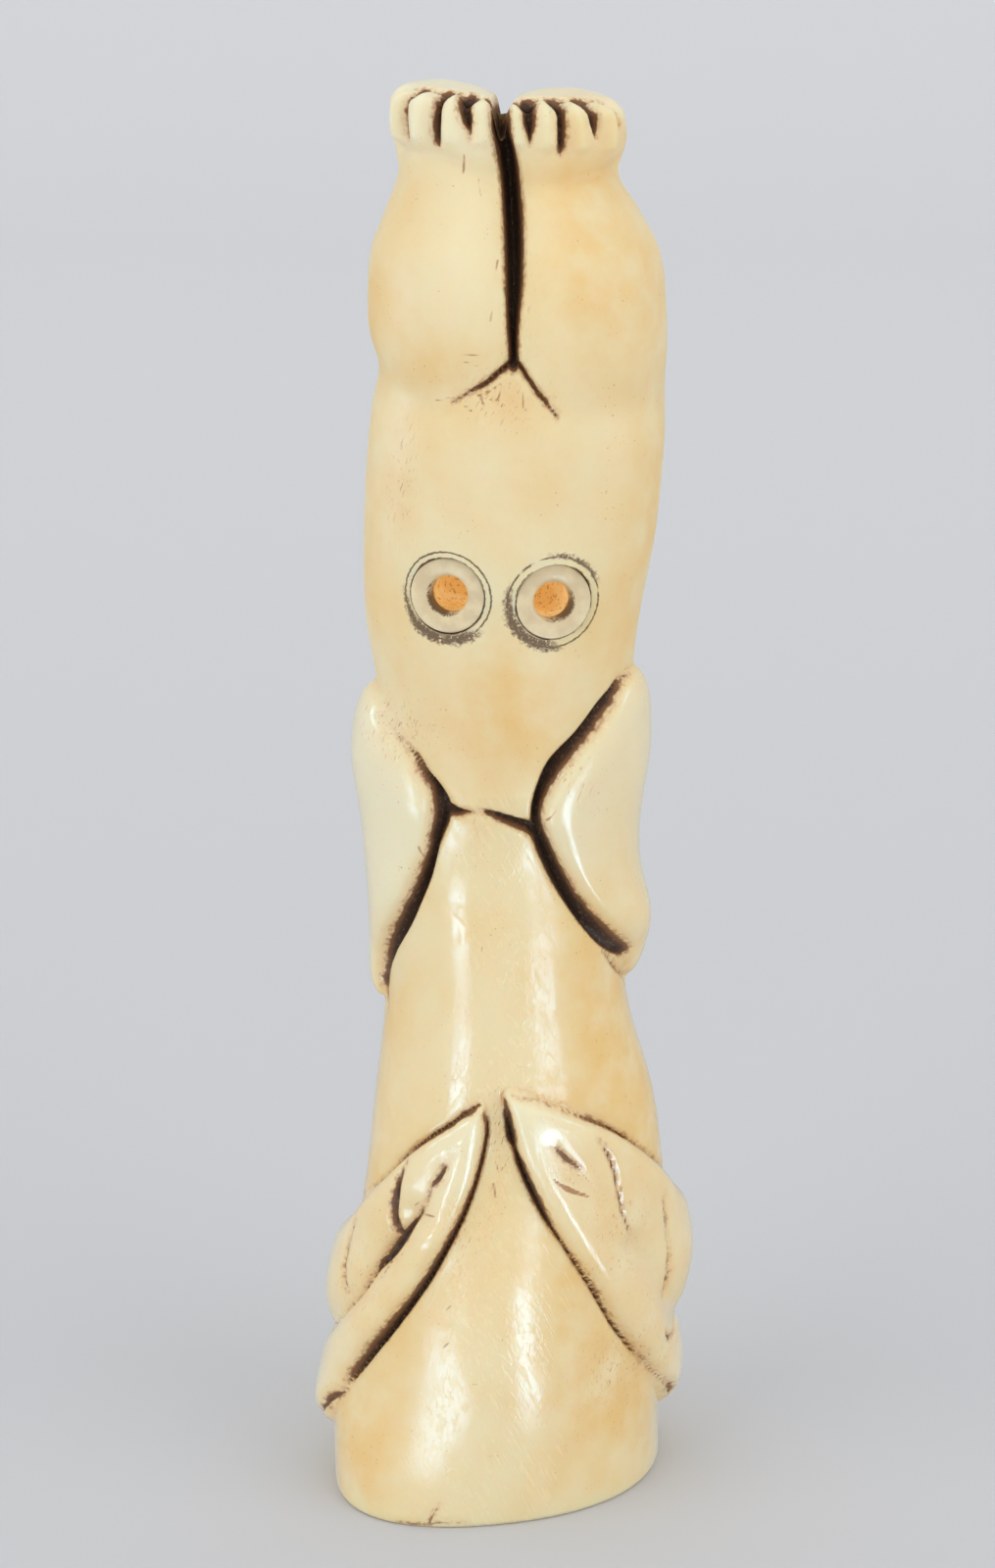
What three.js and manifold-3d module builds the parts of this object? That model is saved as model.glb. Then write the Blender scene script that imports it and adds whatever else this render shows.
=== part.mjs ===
// A slim standing netsuke carved from one block: a crouching figure shown head down on a smooth stem.
// From the top down it has two feet with their soles up, two heavy legs with a deep cleft between them,
// a rounded back with two cord holes, two arms laid round the stem, and two folded leaves above the flat
// foot that it stands on. A pale ring lines each cord hole.
//
// Units are millimetres, +Z is up and the origin is in the middle of the flat foot. The carved back, with
// the cord holes, faces -Y. A place on the block is given as [angle, height]: the angle in degrees round
// the block's own axis, 0 at the middle of the back and positive towards +X, and the height above the foot.
// A third number is the share of the way out from the axis, for places on the soles or outside the block.
import * as THREE from "three";
import { mergeVertices } from "three/addons/utils/BufferGeometryUtils.js";
import Module from "manifold-3d";

const wasm = await Module();
wasm.setup();

// ---------------------------------------------------------------- driving sizes
const HEIGHT = 79.9; // of the soles, in the middle
const FOOT_EDGE = 0.35; // rounding of the edge that it stands on
const SOLE_EDGE = 0.9; // rounding of the rim of the soles
const SOLE_FALL = { x: 0.07, y: 0.1 }; // how far the soles sink for each millimetre towards +X and +Y
const SOLE_FALL_FROM = 73; // the height above which the feet lean to meet them
const UNROLL_RADIUS = 8; // turns an angle into millimetres, in the outlines of the raised areas

const COLUMNS = 62; // facets round the block
const BACK_CROWDING = 0.42; // how far the columns crowd towards the carved back
const SLOT_STEP = 2.4; // length of one facet along the cleft
const SLOT_SIDES = 6;

// The uncarved block at each height: its section's half width and half depth, the place of its axis, how
// square the section is (2 is an ellipse) and how far it slews back for each millimetre towards +X.
const BLOCK = [
  { height: 0, width: 9.45, depth: 9.15, x: 0.05, y: -0.15, square: 2.4, slew: 0.22 },
  { height: 3, width: 9.45, depth: 9.15, x: 0, y: -0.1, square: 2.25, slew: 0.18 },
  { height: 8, width: 9.35, depth: 8.85, x: 0.3, y: 0.15, square: 2.05, slew: 0.12 },
  { height: 13, width: 9.0, depth: 8.3, x: 0.75, y: 0.35, square: 2.0, slew: 0.1 },
  { height: 18, width: 8.55, depth: 7.7, x: 1.0, y: 0.6, square: 2.05, slew: 0.08 },
  { height: 22.5, width: 8.0, depth: 7.2, x: 0.96, y: 0.8, square: 2.1, slew: 0.05 },
  { height: 28, width: 6.95, depth: 6.6, x: 0.52, y: 0.95, square: 2.1, slew: 0 },
  { height: 33, width: 6.55, depth: 6.15, x: 0.27, y: 1.0, square: 2.1, slew: 0 },
  { height: 38, width: 6.75, depth: 5.85, x: 0.15, y: 1.0, square: 2.1, slew: 0 },
  { height: 43, width: 7.1, depth: 6.2, x: 0.15, y: 0.7, square: 2.15, slew: 0 },
  { height: 47, width: 7.1, depth: 6.75, x: 0.35, y: 0.35, square: 2.2, slew: 0 },
  { height: 51, width: 7.6, depth: 7.3, x: 0.28, y: 0.15, square: 2.2, slew: 0 },
  { height: 55.6, width: 8.05, depth: 7.6, x: 0.65, y: 0, square: 2.2, slew: 0 },
  { height: 60, width: 8.15, depth: 7.6, x: 0.97, y: 0, square: 2.2, slew: 0 },
  { height: 64, width: 8.05, depth: 7.5, x: 1.2, y: 0, square: 2.2, slew: 0 },
  { height: 68, width: 8.15, depth: 7.5, x: 1.07, y: 0, square: 2.2, slew: 0 },
  { height: 71.3, width: 7.85, depth: 6.9, x: 0.97, y: 0, square: 2.2, slew: 0 },
  { height: 73.5, width: 6.9, depth: 5.9, x: 0.8, y: 0, square: 2.3, slew: 0 },
  { height: 75.6, width: 5.95, depth: 5.0, x: 0.6, y: 0.1, square: 2.4, slew: 0 },
  { height: 77.7, width: 6.35, depth: 5.2, x: 0.6, y: 0.1, square: 2.5, slew: 0 },
  { height: 79, width: 6.3, depth: 5.0, x: 0.55, y: 0.1, square: 2.6, slew: 0 },
  { height: HEIGHT, width: 6.1, depth: 4.8, x: 0.52, y: 0.1, square: 2.6, slew: 0 },
];

// Spacing of the rings of facets from each height upwards, closer where the carving is finer.
const RING_SPACING = [
  { from: 1.2, step: 1.4 },
  { from: 4, step: 1.05 },
  { from: 26, step: 1.5 },
  { from: 29, step: 1.05 },
  { from: 48.9, step: 3.1 },
  { from: 61.3, step: 1.3 },
  { from: 74.3, step: 0.78 },
];

// Areas that stand proud of the block: a closed outline, the rise, and the width of the slope up to it.
const RAISED = [
  {
    name: "left arm",
    rise: 1.05,
    slope: 2.2,
    outline: [
      [-69, 47], [-50, 45.2], [-36, 42.9], [-31.5, 41], [-37, 38.6], [-52, 34.9], [-76, 31.2], [-84, 28.5],
      [-102, 29], [-125, 32.5], [-150, 35.5], [-168, 37], [-168, 42], [-145, 43], [-115, 45.5], [-90, 47.1],
    ],
  },
  {
    name: "right arm",
    rise: 1.1,
    slope: 2.2,
    outline: [
      [62, 48.3], [48, 46.8], [33, 44.4], [24, 42.7], [20, 40.6], [25.5, 38.6], [45, 34.7], [70, 31.9],
      [84, 29.8], [100, 29.8], [125, 32.5], [150, 35.5], [168, 37], [168, 42], [145, 43.5], [115, 46],
      [85, 48.1],
    ],
  },
  {
    name: "left leaf",
    rise: 1.0,
    slope: 1.7,
    outline: [
      [-13, 24.2], [-13.5, 22.2], [-21, 18.3], [-34, 14.2], [-50, 10.5], [-63, 7.6], [-75, 4.8], [-88, 3.2],
      [-108, 3.6], [-130, 6], [-150, 10.5], [-140, 13], [-115, 14.4], [-90, 15.2], [-66.5, 18.2], [-47, 21],
      [-30, 22.8],
    ],
  },
  {
    name: "right leaf",
    rise: 1.05,
    slope: 1.7,
    outline: [
      [-3.5, 25], [-1, 22.4], [8, 19.1], [24, 15.2], [43.5, 10.7], [62, 6.9], [78, 4], [92, 3], [112, 3.6],
      [132, 6.5], [150, 10.5], [140, 14], [115, 16], [90, 16.6], [67, 19.4], [39.5, 22.6], [13, 24.6],
    ],
  },
];

// Rounded swellings: the middle, how far they reach round in degrees and up in millimetres, and the rise.
const SWELLINGS = [
  { name: "right elbow", at: [84, 33.4], reach: [34, 2.6], rise: 0.85 },
  { name: "left shoulder", at: [-88, 43.2], reach: [34, 2.8], rise: 0.25 },
  { name: "right shoulder", at: [84, 43.6], reach: [34, 2.8], rise: 0.25 },
  { name: "left leaf, upper fold", at: [-88, 12], reach: [26, 2.3], rise: 0.45 },
  { name: "left leaf, lower fold", at: [-84, 5], reach: [24, 1.4], rise: 0.25 },
  { name: "right leaf, upper fold", at: [86, 13.2], reach: [26, 2.6], rise: 0.6 },
  { name: "right leaf, lower fold", at: [84, 6], reach: [22, 1.6], rise: 0.25 },
  { name: "left calf", at: [-32, 70], reach: [24, 3.6], rise: 0.4 },
  { name: "right calf", at: [36, 70], reach: [26, 3.8], rise: 0.4 },
  { name: "dome of the foot", at: [-3, 10], reach: [27, 7.5], rise: 0.75 },
];

// Soft hollows along a route: their full width and depth, the same all the way. A pad is a hollow of
// negative depth.
const HOLLOWS = [
  {
    name: "shoulders of the cleft",
    route: [[-4, 78], [1.5, 75.6], [-1.5, 70], [-2.2, 66.6]],
    width: 4,
    depth: 0.6,
  },
  { name: "in front of the cleft", route: [[180, 78], [180, 70], [180, 65]], width: 5, depth: 0.8 },
  {
    name: "above the left haunch",
    route: [[-14, 65], [-37, 64], [-73, 64.9], [-100, 65.2]],
    width: 4,
    depth: 0.4,
  },
  {
    name: "above the right haunch",
    route: [[5, 64.6], [33, 63.6], [60, 63.8], [80, 63.8]],
    width: 4,
    depth: 0.3,
  },
  {
    name: "left leaf fold",
    route: [[-40, 17.6], [-48, 15.7], [-62, 12.4], [-90, 8.6], [-120, 8.4]],
    width: 2.8,
    depth: 0.6,
  },
  {
    name: "right leaf fold",
    route: [[45, 16], [60, 13], [78, 9.4], [115, 8.6]],
    width: 2.6,
    depth: 0.5,
  },
  {
    name: "pad of the left sole",
    route: [[-90, HEIGHT, 0.5], [-130, HEIGHT, 0.75]],
    width: 5.6,
    depth: -0.4,
  },
  {
    name: "pad of the right sole",
    route: [[90, HEIGHT, 0.5], [130, HEIGHT, 0.8]],
    width: 6,
    depth: -0.45,
  },
  {
    name: "between the soles",
    route: [[-4.6, HEIGHT], [0, HEIGHT, 0], [180, HEIGHT]],
    width: 2.8,
    depth: 0.4,
  },
];

// Deep slots: the route, then the full width and the depth at its two ends.
const SLOTS = [
  {
    name: "cleft between the legs, behind",
    route: [[-4.5, 82], [-4.5, 79], [-2.8, 77.3], [1.3, 75.6], [0.8, 73.8], [-1, 70.8], [-2.2, 66]],
    width: [1.3, 1.1],
    depth: [2.4, 1.5],
  },
  {
    name: "cleft between the feet",
    route: [[-4.5, HEIGHT, 1.4], [-4.5, HEIGHT, 0.5], [0, HEIGHT, 0], [180, HEIGHT, 0.5], [180, HEIGHT, 1.4]],
    width: [1.3, 1.3],
    depth: [2.1, 2.1],
  },
  {
    name: "cleft between the legs, in front",
    route: [[180, 82], [180, 78], [180, 72], [180, 65]],
    width: [1.3, 1.1],
    depth: [1.8, 0.9],
  },
];

// Shallow cuts: the route, then the full width and the depth at its two ends.
const CUTS = [
  {
    name: "left haunch",
    route: [[-2.5, 66.4], [-8.2, 65.9], [-25, 64.5]],
    width: [1.6, 1.4],
    depth: [1.1, 0.3],
  },
  {
    name: "right haunch",
    route: [[-2, 66.4], [4, 65.5], [15.5, 63.5]],
    width: [1.6, 1.4],
    depth: [1.1, 0.3],
  },
  {
    name: "above the left arm",
    route: [[-58, 45.8], [-38, 43.1], [-30.4, 41.1]],
    width: [1.5, 1.6],
    depth: [0.3, 0.9],
  },
  {
    name: "above the right arm",
    route: [[62, 48.2], [48, 46.8], [28.2, 43.8], [19.6, 40.7]],
    width: [1.5, 1.7],
    depth: [0.3, 1.0],
  },
  {
    name: "below the left arm",
    route: [[-30.4, 41.1], [-36, 39], [-56.8, 34], [-80, 29.5]],
    width: [1.7, 1.7],
    depth: [1.0, 0.7],
  },
  {
    name: "below the right arm",
    route: [[19.6, 40.7], [23, 39.2], [45, 34.6], [73, 31.6]],
    width: [1.7, 1.7],
    depth: [1.0, 0.6],
  },
  {
    name: "top of the stem",
    route: [[-30.4, 41.1], [-12, 40.9], [8.2, 40.3], [19.6, 40.4]],
    width: [1.6, 1.6],
    depth: [0.6, 0.8],
  },
  {
    name: "under the left leaf",
    route: [[-12.4, 23.6], [-16, 20.6], [-25.2, 16.8], [-45.8, 11.3], [-66, 7]],
    width: [1.5, 1.7],
    depth: [0.4, 0.6],
  },
  {
    name: "under the right leaf",
    route: [[-3.5, 24.7], [-1, 22.3], [8.8, 18.9], [32, 13.4], [76, 4.9]],
    width: [1.6, 1.6],
    depth: [0.6, 0.4],
  },
  {
    name: "left leaf crease",
    route: [[-31, 20.1], [-43.5, 16.7], [-56.8, 14], [-84, 9.2]],
    width: [1.5, 1.7],
    depth: [0.3, 0.6],
  },
  {
    name: "left leaf vein",
    route: [[-46.5, 20.3], [-49, 17.2]],
    width: [1.5, 1.5],
    depth: [0.4, 0.5],
  },
  {
    name: "left leaf side vein",
    route: [[-72, 15.6], [-71, 12.4]],
    width: [1.6, 1.6],
    depth: [0.4, 0.5],
  },
  {
    name: "right leaf crease",
    route: [[34, 22], [40, 19.6], [45.5, 16.3]],
    width: [1.6, 1.6],
    depth: [0.3, 0.4],
  },
  {
    name: "right leaf side vein",
    route: [[64, 17.3], [65.2, 13.2], [66.5, 11.2]],
    width: [1.6, 1.6],
    depth: [0.3, 0.4],
  },
];

// Toes: the angle of each gap between them at the rim of the sole and at its lower end, and how low it ends.
const TOE_GAPS = [
  { rim: -59.4, end: -59, low: 77.3 },
  { rim: -39.6, end: -40, low: 77.1 },
  { rim: -25.4, end: -22.4, low: 77.6 },
  { rim: 12.6, end: 12.4, low: 77.3 },
  { rim: 31, end: 29.4, low: 77.1 },
  { rim: 48.6, end: 48.6, low: 78 },
  { rim: 68, end: 68.6, low: 78.7 },
];
const TOE_GAP = { width: [1.1, 0.9], depth: [0.6, 0.35], inner: 0.7 };
// The toes between the gaps are ridges that run up the foot to the edge of the sole.
const TOE_ANGLES = [-66, -50, -32.5, -15, 4, 21.8, 39.8, 58];
const TOE = { low: 77.6, inner: 0.86, width: 1.6, rise: 0.35 };

// Fingers: shallow cuts across the backs of the two hands, which meet in front of the stem.
const FINGER_HEIGHTS = [38.2, 39.5, 40.8];
const FINGER = { from: 146, to: 168, width: [1.2, 1.2], depth: [0.5, 0.5] };

// The cord holes: where each opens, and the angle at which it goes in.
const CORD_HOLES = [
  { name: "cord_hole_ring_left", at: [-24.9, 53.65], turn: -16 },
  { name: "cord_hole_ring_right", at: [20.3, 53.35], turn: 14 },
];
const RING = { bore: 1.1, outer: 2.1, thick: 0.9, lip: 0.12, flare: 0.2, sides: 24 };
const RING_GAP = 0.3;
const RING_SUNK = 0.15; // how far the ring's face lies below the back
const TUNNEL = { radius: 1.15, depth: 4.4, sides: 12, steps: 24, outside: 2 };

// ---------------------------------------------------------------- the uncarved block
const radians = THREE.MathUtils.degToRad;
const { clamp, lerp, smoothstep } = THREE.MathUtils;

/** One value of the block at a height: a cubic between two stations, with slopes from their neighbours. */
function blockValue(key, height) {
  const last = BLOCK.length - 1;
  const above = BLOCK.findIndex((station) => station.height > height);
  const i = above < 0 ? last - 1 : Math.max(above - 1, 0);
  const slope = (j) => {
    const [a, b] = [BLOCK[Math.max(j - 1, 0)], BLOCK[Math.min(j + 1, last)]];
    return (b[key] - a[key]) / (b.height - a.height);
  };
  const [low, high] = [BLOCK[i], BLOCK[i + 1]];
  const step = high.height - low.height;
  const t = clamp((height - low.height) / step, 0, 1);
  const ends = low[key] * (1 + 2 * t) * (1 - t) ** 2 + high[key] * t * t * (3 - 2 * t);
  return ends + step * t * (1 - t) * (slope(i) * (1 - t) - slope(i + 1) * t);
}

/** A point of the block: a superellipse round its axis, slewed, and leaning above SOLE_FALL_FROM. */
function blockPoint(angle, height, share = 1) {
  const [s, c] = [Math.sin(radians(angle)), Math.cos(radians(angle))];
  const square = blockValue("square", height);
  const across = Math.abs(s / blockValue("width", height)) ** square;
  const through = Math.abs(c / blockValue("depth", height)) ** square;
  const radius = share * (across + through) ** (-1 / square);
  const x = blockValue("x", height) + radius * s;
  const y = blockValue("y", height) + radius * (blockValue("slew", height) * s - c);
  const fall = (SOLE_FALL.x * x + SOLE_FALL.y * y) * smoothstep(height, SOLE_FALL_FROM, HEIGHT);
  return new THREE.Vector3(x, y, height - fall);
}

/** The way out of the block at a place: square to its side, straight up on the soles, between on the rim. */
function outwards(angle, height, share = 1) {
  const side = Math.min(height, HEIGHT - SOLE_EDGE);
  const along = blockPoint(angle + 1, side).sub(blockPoint(angle - 1, side));
  const up = blockPoint(angle, side).sub(blockPoint(angle, side - 0.2));
  const out = along.cross(up).normalize();
  const rise = Math.max(0, height - side);
  const reach = Math.max(0, share * blockValue("width", HEIGHT) - blockValue("width", HEIGHT) + SOLE_EDGE);
  const turn = rise > 0 ? Math.atan2(rise, reach) : 0;
  return out.multiplyScalar(Math.cos(turn)).add(new THREE.Vector3(0, 0, Math.sin(turn))).normalize();
}

// ---------------------------------------------------------------- the modelling
/** How far a raised area lifts a place: a smooth slope up from its outline, then level. */
function lift({ polygon, rise, slope }, angle, height) {
  const here = new THREE.Vector2(radians(angle) * UNROLL_RADIUS, height);
  let inside = false;
  let nearest = Infinity;
  polygon.forEach((a, i) => {
    const side = polygon[(i + 1) % polygon.length].clone().sub(a);
    const share = (here.y - a.y) / side.y;
    if (share > 0 && share <= 1 && here.x < a.x + side.x * share) inside = !inside;
    const along = clamp(here.clone().sub(a).dot(side) / side.lengthSq(), 0, 1);
    nearest = Math.min(nearest, here.distanceTo(a.clone().addScaledVector(side, along)));
  });
  return inside ? rise * smoothstep(nearest, 0, slope) : 0;
}

/** How far a swelling lifts a place: a bell in both directions. */
const swell = ({ at, reach, rise }, angle, height) =>
  rise * Math.exp(-(((angle - at[0]) / reach[0]) ** 2) - ((height - at[1]) / reach[1]) ** 2);

/** How far a hollow lowers a point, or a ridge of negative depth lifts it: a bell across its route. */
function sink({ samples, width, depth }, point) {
  const nearest = Math.min(...samples.map((sample) => sample.distanceTo(point)));
  return depth * Math.exp(-2 * (nearest / (width / 2)) ** 2);
}

/** How deep a cut is at a point: a cosine across its route, from its first width and depth to its last. */
function cutDepth({ samples, width, depth }, point) {
  const distances = samples.map((sample) => sample.distanceTo(point));
  const nearest = Math.min(...distances);
  const t = distances.indexOf(nearest) / (samples.length - 1);
  const across = Math.min(1, nearest / (lerp(...width, t) / 2));
  return (lerp(...depth, t) * (1 + Math.cos(Math.PI * across))) / 2;
}

/** Points along a smooth curve through the places of a route, on the uncarved block. */
function samplesOf(route, count) {
  const curve = new THREE.CatmullRomCurve3(route.map((place) => blockPoint(...place)), false, "centripetal");
  return curve.getPoints(count);
}

const toeCuts = TOE_GAPS.map(({ rim, end, low }) => ({
  route: [[rim, HEIGHT, TOE_GAP.inner], [rim, HEIGHT, 0.97], [rim, HEIGHT - SOLE_EDGE], [end, low]],
  width: TOE_GAP.width,
  depth: TOE_GAP.depth,
}));
const fingerCuts = [-1, 1].flatMap((side) =>
  FINGER_HEIGHTS.map((height) => ({
    route: [[side * FINGER.from, height], [side * FINGER.to, height]],
    width: FINGER.width,
    depth: FINGER.depth,
  })),
);
const raised = RAISED.map((area) => {
  const unrolled = ([angle, height]) => new THREE.Vector3(radians(angle) * UNROLL_RADIUS, height, 0);
  const curve = new THREE.CatmullRomCurve3(area.outline.map(unrolled), true, "centripetal");
  return { ...area, polygon: curve.getPoints(80).slice(1).map(({ x, y }) => new THREE.Vector2(x, y)) };
});
const toes = TOE_ANGLES.map((angle) => ({
  route: [[angle, TOE.low], [angle, HEIGHT - SOLE_EDGE], [angle, HEIGHT, 0.96], [angle, HEIGHT, TOE.inner]],
  width: TOE.width,
  depth: -TOE.rise,
}));
const hollows = [...HOLLOWS, ...toes].map((hollow) => ({ ...hollow, samples: samplesOf(hollow.route, 40) }));
const allCuts = [...CUTS, ...toeCuts, ...fingerCuts];
const cuts = allCuts.map((cut) => ({ ...cut, samples: samplesOf(cut.route, 60) }));

/** A point of the carved surface: raised areas and swellings, less the hollows and the deepest cut there. */
function surfacePoint(angle, height, share = 1) {
  const point = blockPoint(angle, height, share);
  const up = Math.max(...raised.map((area) => lift(area, angle, height)));
  const swellings = SWELLINGS.reduce((sum, swelling) => sum + swell(swelling, angle, height), 0);
  const sunk = hollows.reduce((sum, hollow) => sum + sink(hollow, point), 0);
  const cut = Math.max(...cuts.map((one) => cutDepth(one, point)));
  return point.addScaledVector(outwards(angle, height, share), up + swellings - sunk - cut);
}

// ---------------------------------------------------------------- closed skins
/**
 * A closed skin over rings with as many points each, fanned to a first point and to a last one. Each facet
 * is split along its shorter diagonal, which follows a cut that crosses it.
 */
function closedSkin(first, rings, last) {
  const points = [first, ...rings.flat(), last];
  const sides = rings[0].length;
  const vertex = (ring, side) => 1 + ring * sides + (side % sides);
  const end = points.length - 1;
  const triangles = [];
  for (let side = 0; side < sides; side++) {
    triangles.push(0, vertex(0, side + 1), vertex(0, side));
    triangles.push(end, vertex(rings.length - 1, side), vertex(rings.length - 1, side + 1));
    for (let ring = 0; ring + 1 < rings.length; ring++) {
      const [a, b] = [vertex(ring, side), vertex(ring, side + 1)];
      const [c, d] = [vertex(ring + 1, side + 1), vertex(ring + 1, side)];
      const shortest = points[a].distanceTo(points[c]) < points[b].distanceTo(points[d]);
      triangles.push(...(shortest ? [a, b, c, a, c, d] : [a, b, d, b, c, d]));
    }
  }
  return new THREE.BufferGeometry().setFromPoints(points).setIndex(triangles);
}

/** The rings of the block: the flat foot and its edge, up the sides, over the rim and in on the soles. */
function blockRings() {
  const columns = Array.from({ length: COLUMNS }, (_, i) => {
    const turn = ((i + 0.5) / COLUMNS) * 2 * Math.PI - Math.PI;
    return THREE.MathUtils.radToDeg(turn - BACK_CROWDING * Math.sin(turn));
  });
  const footShare = (turn) => 1 - (FOOT_EDGE * (1 - Math.sin(radians(turn)))) / BLOCK[0].width;
  const foot = [0, 45, 90].map((turn) => [FOOT_EDGE * (1 - Math.cos(radians(turn))), footShare(turn)]);
  const sides = RING_SPACING.flatMap(({ from, step }, i) => {
    const to = RING_SPACING[i + 1]?.from ?? HEIGHT - SOLE_EDGE;
    const count = Math.round((to - from) / step);
    return Array.from({ length: count }, (_, k) => [from + ((to - from) * k) / count, 1]);
  });
  const rimShare = (turn) => 1 - (SOLE_EDGE * (1 - Math.cos(radians(turn)))) / BLOCK.at(-1).width;
  const rimHeight = (turn) => HEIGHT - SOLE_EDGE * (1 - Math.sin(radians(turn)));
  const rim = [0, 30, 60, 90].map((turn) => [rimHeight(turn), rimShare(turn)]);
  const soles = [0.6, 0.3].map((share) => [HEIGHT, share]);
  const ringOf = (pointAt) => ([height, share]) => columns.map((angle) => pointAt(angle, height, share));
  return [...foot.map(ringOf(blockPoint)), ...[...sides, ...rim, ...soles].map(ringOf(surfacePoint))];
}

/** A slot cutter: a six-sided section along the block's surface, closed to a point at each end. */
function slotGeometry({ route, width, depth }) {
  const curve = new THREE.CatmullRomCurve3(route.map((place) => blockPoint(...place)), false, "centripetal");
  const outs = route.map((place) => outwards(...place));
  const steps = Math.ceil(curve.getLength() / SLOT_STEP);
  const rings = Array.from({ length: steps - 1 }, (_, i) => {
    const t = (i + 1) / steps;
    const place = t * (route.length - 1);
    const k = Math.floor(place);
    const along = curve.getTangent(t);
    const across = along.clone().cross(outs[k].clone().lerp(outs[k + 1], place - k)).normalize();
    const upright = across.clone().cross(along);
    return Array.from({ length: SLOT_SIDES }, (__, side) => {
      const turn = ((side + 0.5) / SLOT_SIDES) * 2 * Math.PI;
      return curve
        .getPoint(t)
        .addScaledVector(across, (lerp(...width, t) * Math.cos(turn)) / 2)
        .addScaledVector(upright, lerp(...depth, t) * Math.sin(turn));
    });
  });
  return closedSkin(curve.getPoint(0), rings, curve.getPoint(1));
}

// ---------------------------------------------------------------- joining and cutting
/** A closed three.js geometry as a manifold-3d solid, turned right way out if it isn't. */
function solidOf(geometry) {
  const bare = geometry.clone();
  for (const name of ["normal", "uv"]) bare.deleteAttribute(name);
  const merged = mergeVertices(bare, 1e-4);
  const solid = (corners) =>
    new wasm.Manifold(
      new wasm.Mesh({ numProp: 3, vertProperties: merged.getAttribute("position").array, triVerts: corners }),
    );
  const corners = new Uint32Array(merged.index.array);
  const made = solid(corners);
  return made.volume() > 0 ? made : solid(corners.reverse());
}

/** A manifold-3d solid as a three.js geometry. */
function geometryOf(solid) {
  const mesh = solid.getMesh();
  const geometry = new THREE.BufferGeometry();
  geometry.setAttribute("position", new THREE.BufferAttribute(mesh.vertProperties, 3));
  geometry.setIndex(new THREE.BufferAttribute(mesh.triVerts, 1));
  geometry.computeVertexNormals();
  return geometry;
}

// ---------------------------------------------------------------- the cord holes
const holes = CORD_HOLES.map(({ name, at, turn }) => ({
  name,
  at: blockPoint(...at),
  out: new THREE.Vector3(Math.sin(radians(turn)), -Math.cos(radians(turn)), 0),
}));
const below = ({ at, out }, depth) => at.clone().addScaledVector(out, -depth);
const facing = ({ out }) => new THREE.Quaternion().setFromUnitVectors(new THREE.Vector3(0, 1, 0), out);

/** The round seat of one ring, a little wider and deeper than the ring, open to the outside. */
function ringSeat(hole) {
  const depth = RING_SUNK + RING.thick + RING_GAP;
  const radius = RING.outer + RING_GAP;
  const seat = new THREE.CylinderGeometry(radius, radius, 2 * depth, RING.sides);
  return seat.applyQuaternion(facing(hole)).translate(...hole.at);
}

/** The tunnel from one hole to the other: a round section along a smooth bend inside the block. */
function cordTunnel([left, right]) {
  const middle = below(left, TUNNEL.depth).lerp(below(right, TUNNEL.depth), 0.5);
  const leg = (hole) => [-TUNNEL.outside, 1, 0.7 * TUNNEL.depth].map((depth) => below(hole, depth));
  const path = new THREE.CatmullRomCurve3([...leg(left), middle, ...leg(right).reverse()]);
  const section = new THREE.Shape().absarc(0, 0, TUNNEL.radius, 0, 2 * Math.PI);
  const { steps, sides } = TUNNEL;
  return new THREE.ExtrudeGeometry(section, { steps, curveSegments: sides, extrudePath: path });
}

/** A ring: a short tube with its outer lip eased and its mouth flared. */
function ringGeometry() {
  const { bore, outer, thick, lip, flare, sides } = RING;
  const inner = [[bore, 0], [outer, 0], [outer, thick - lip]];
  const face = [[outer - lip, thick], [bore + flare, thick], [bore, thick - flare], [bore, 0]];
  return new THREE.LatheGeometry([...inner, ...face].map(([r, y]) => new THREE.Vector2(r, y)), sides);
}

// ---------------------------------------------------------------- the pieces
const cutters = [...SLOTS.map(slotGeometry), ...holes.map(ringSeat), cordTunnel(holes)];

const ivory = new THREE.MeshStandardMaterial({ color: 0xe6cf9a, roughness: 0.3, metalness: 0 });
const paleRing = new THREE.MeshStandardMaterial({ color: 0xcfcbb8, roughness: 0.35, metalness: 0 });

const block = solidOf(closedSkin(blockPoint(0, 0, 0), blockRings(), surfacePoint(0, HEIGHT, 0)));
const figure = new THREE.Mesh(geometryOf(cutters.map(solidOf).reduce((a, b) => a.subtract(b), block)), ivory);
figure.name = "carved_figure";

const netsuke = new THREE.Group();
netsuke.add(figure);
for (const hole of holes) {
  const ring = new THREE.Mesh(ringGeometry(), paleRing);
  ring.quaternion.copy(facing(hole));
  ring.position.copy(below(hole, RING_SUNK + RING.thick));
  ring.name = hole.name;
  netsuke.add(ring);
}

export default netsuke;
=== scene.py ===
# %% [markdown]
# # A standing netsuke, carved head down
#
# A netsuke is the carved toggle that kept a pouch from slipping off the sash of a kimono. This one is cut
# from one slim block of ivory: a crouching figure, head down on a smooth stem, with its feet in the air, its
# arms laid round the stem, and two folded leaves above the flat foot. Two cord holes, each lined with a pale
# ring, open in its back.
#
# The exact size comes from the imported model, which is loaded first and never changed. Everything below is
# worked out in millimetres and put into the mesh in metres.

import functools
import math

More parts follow.
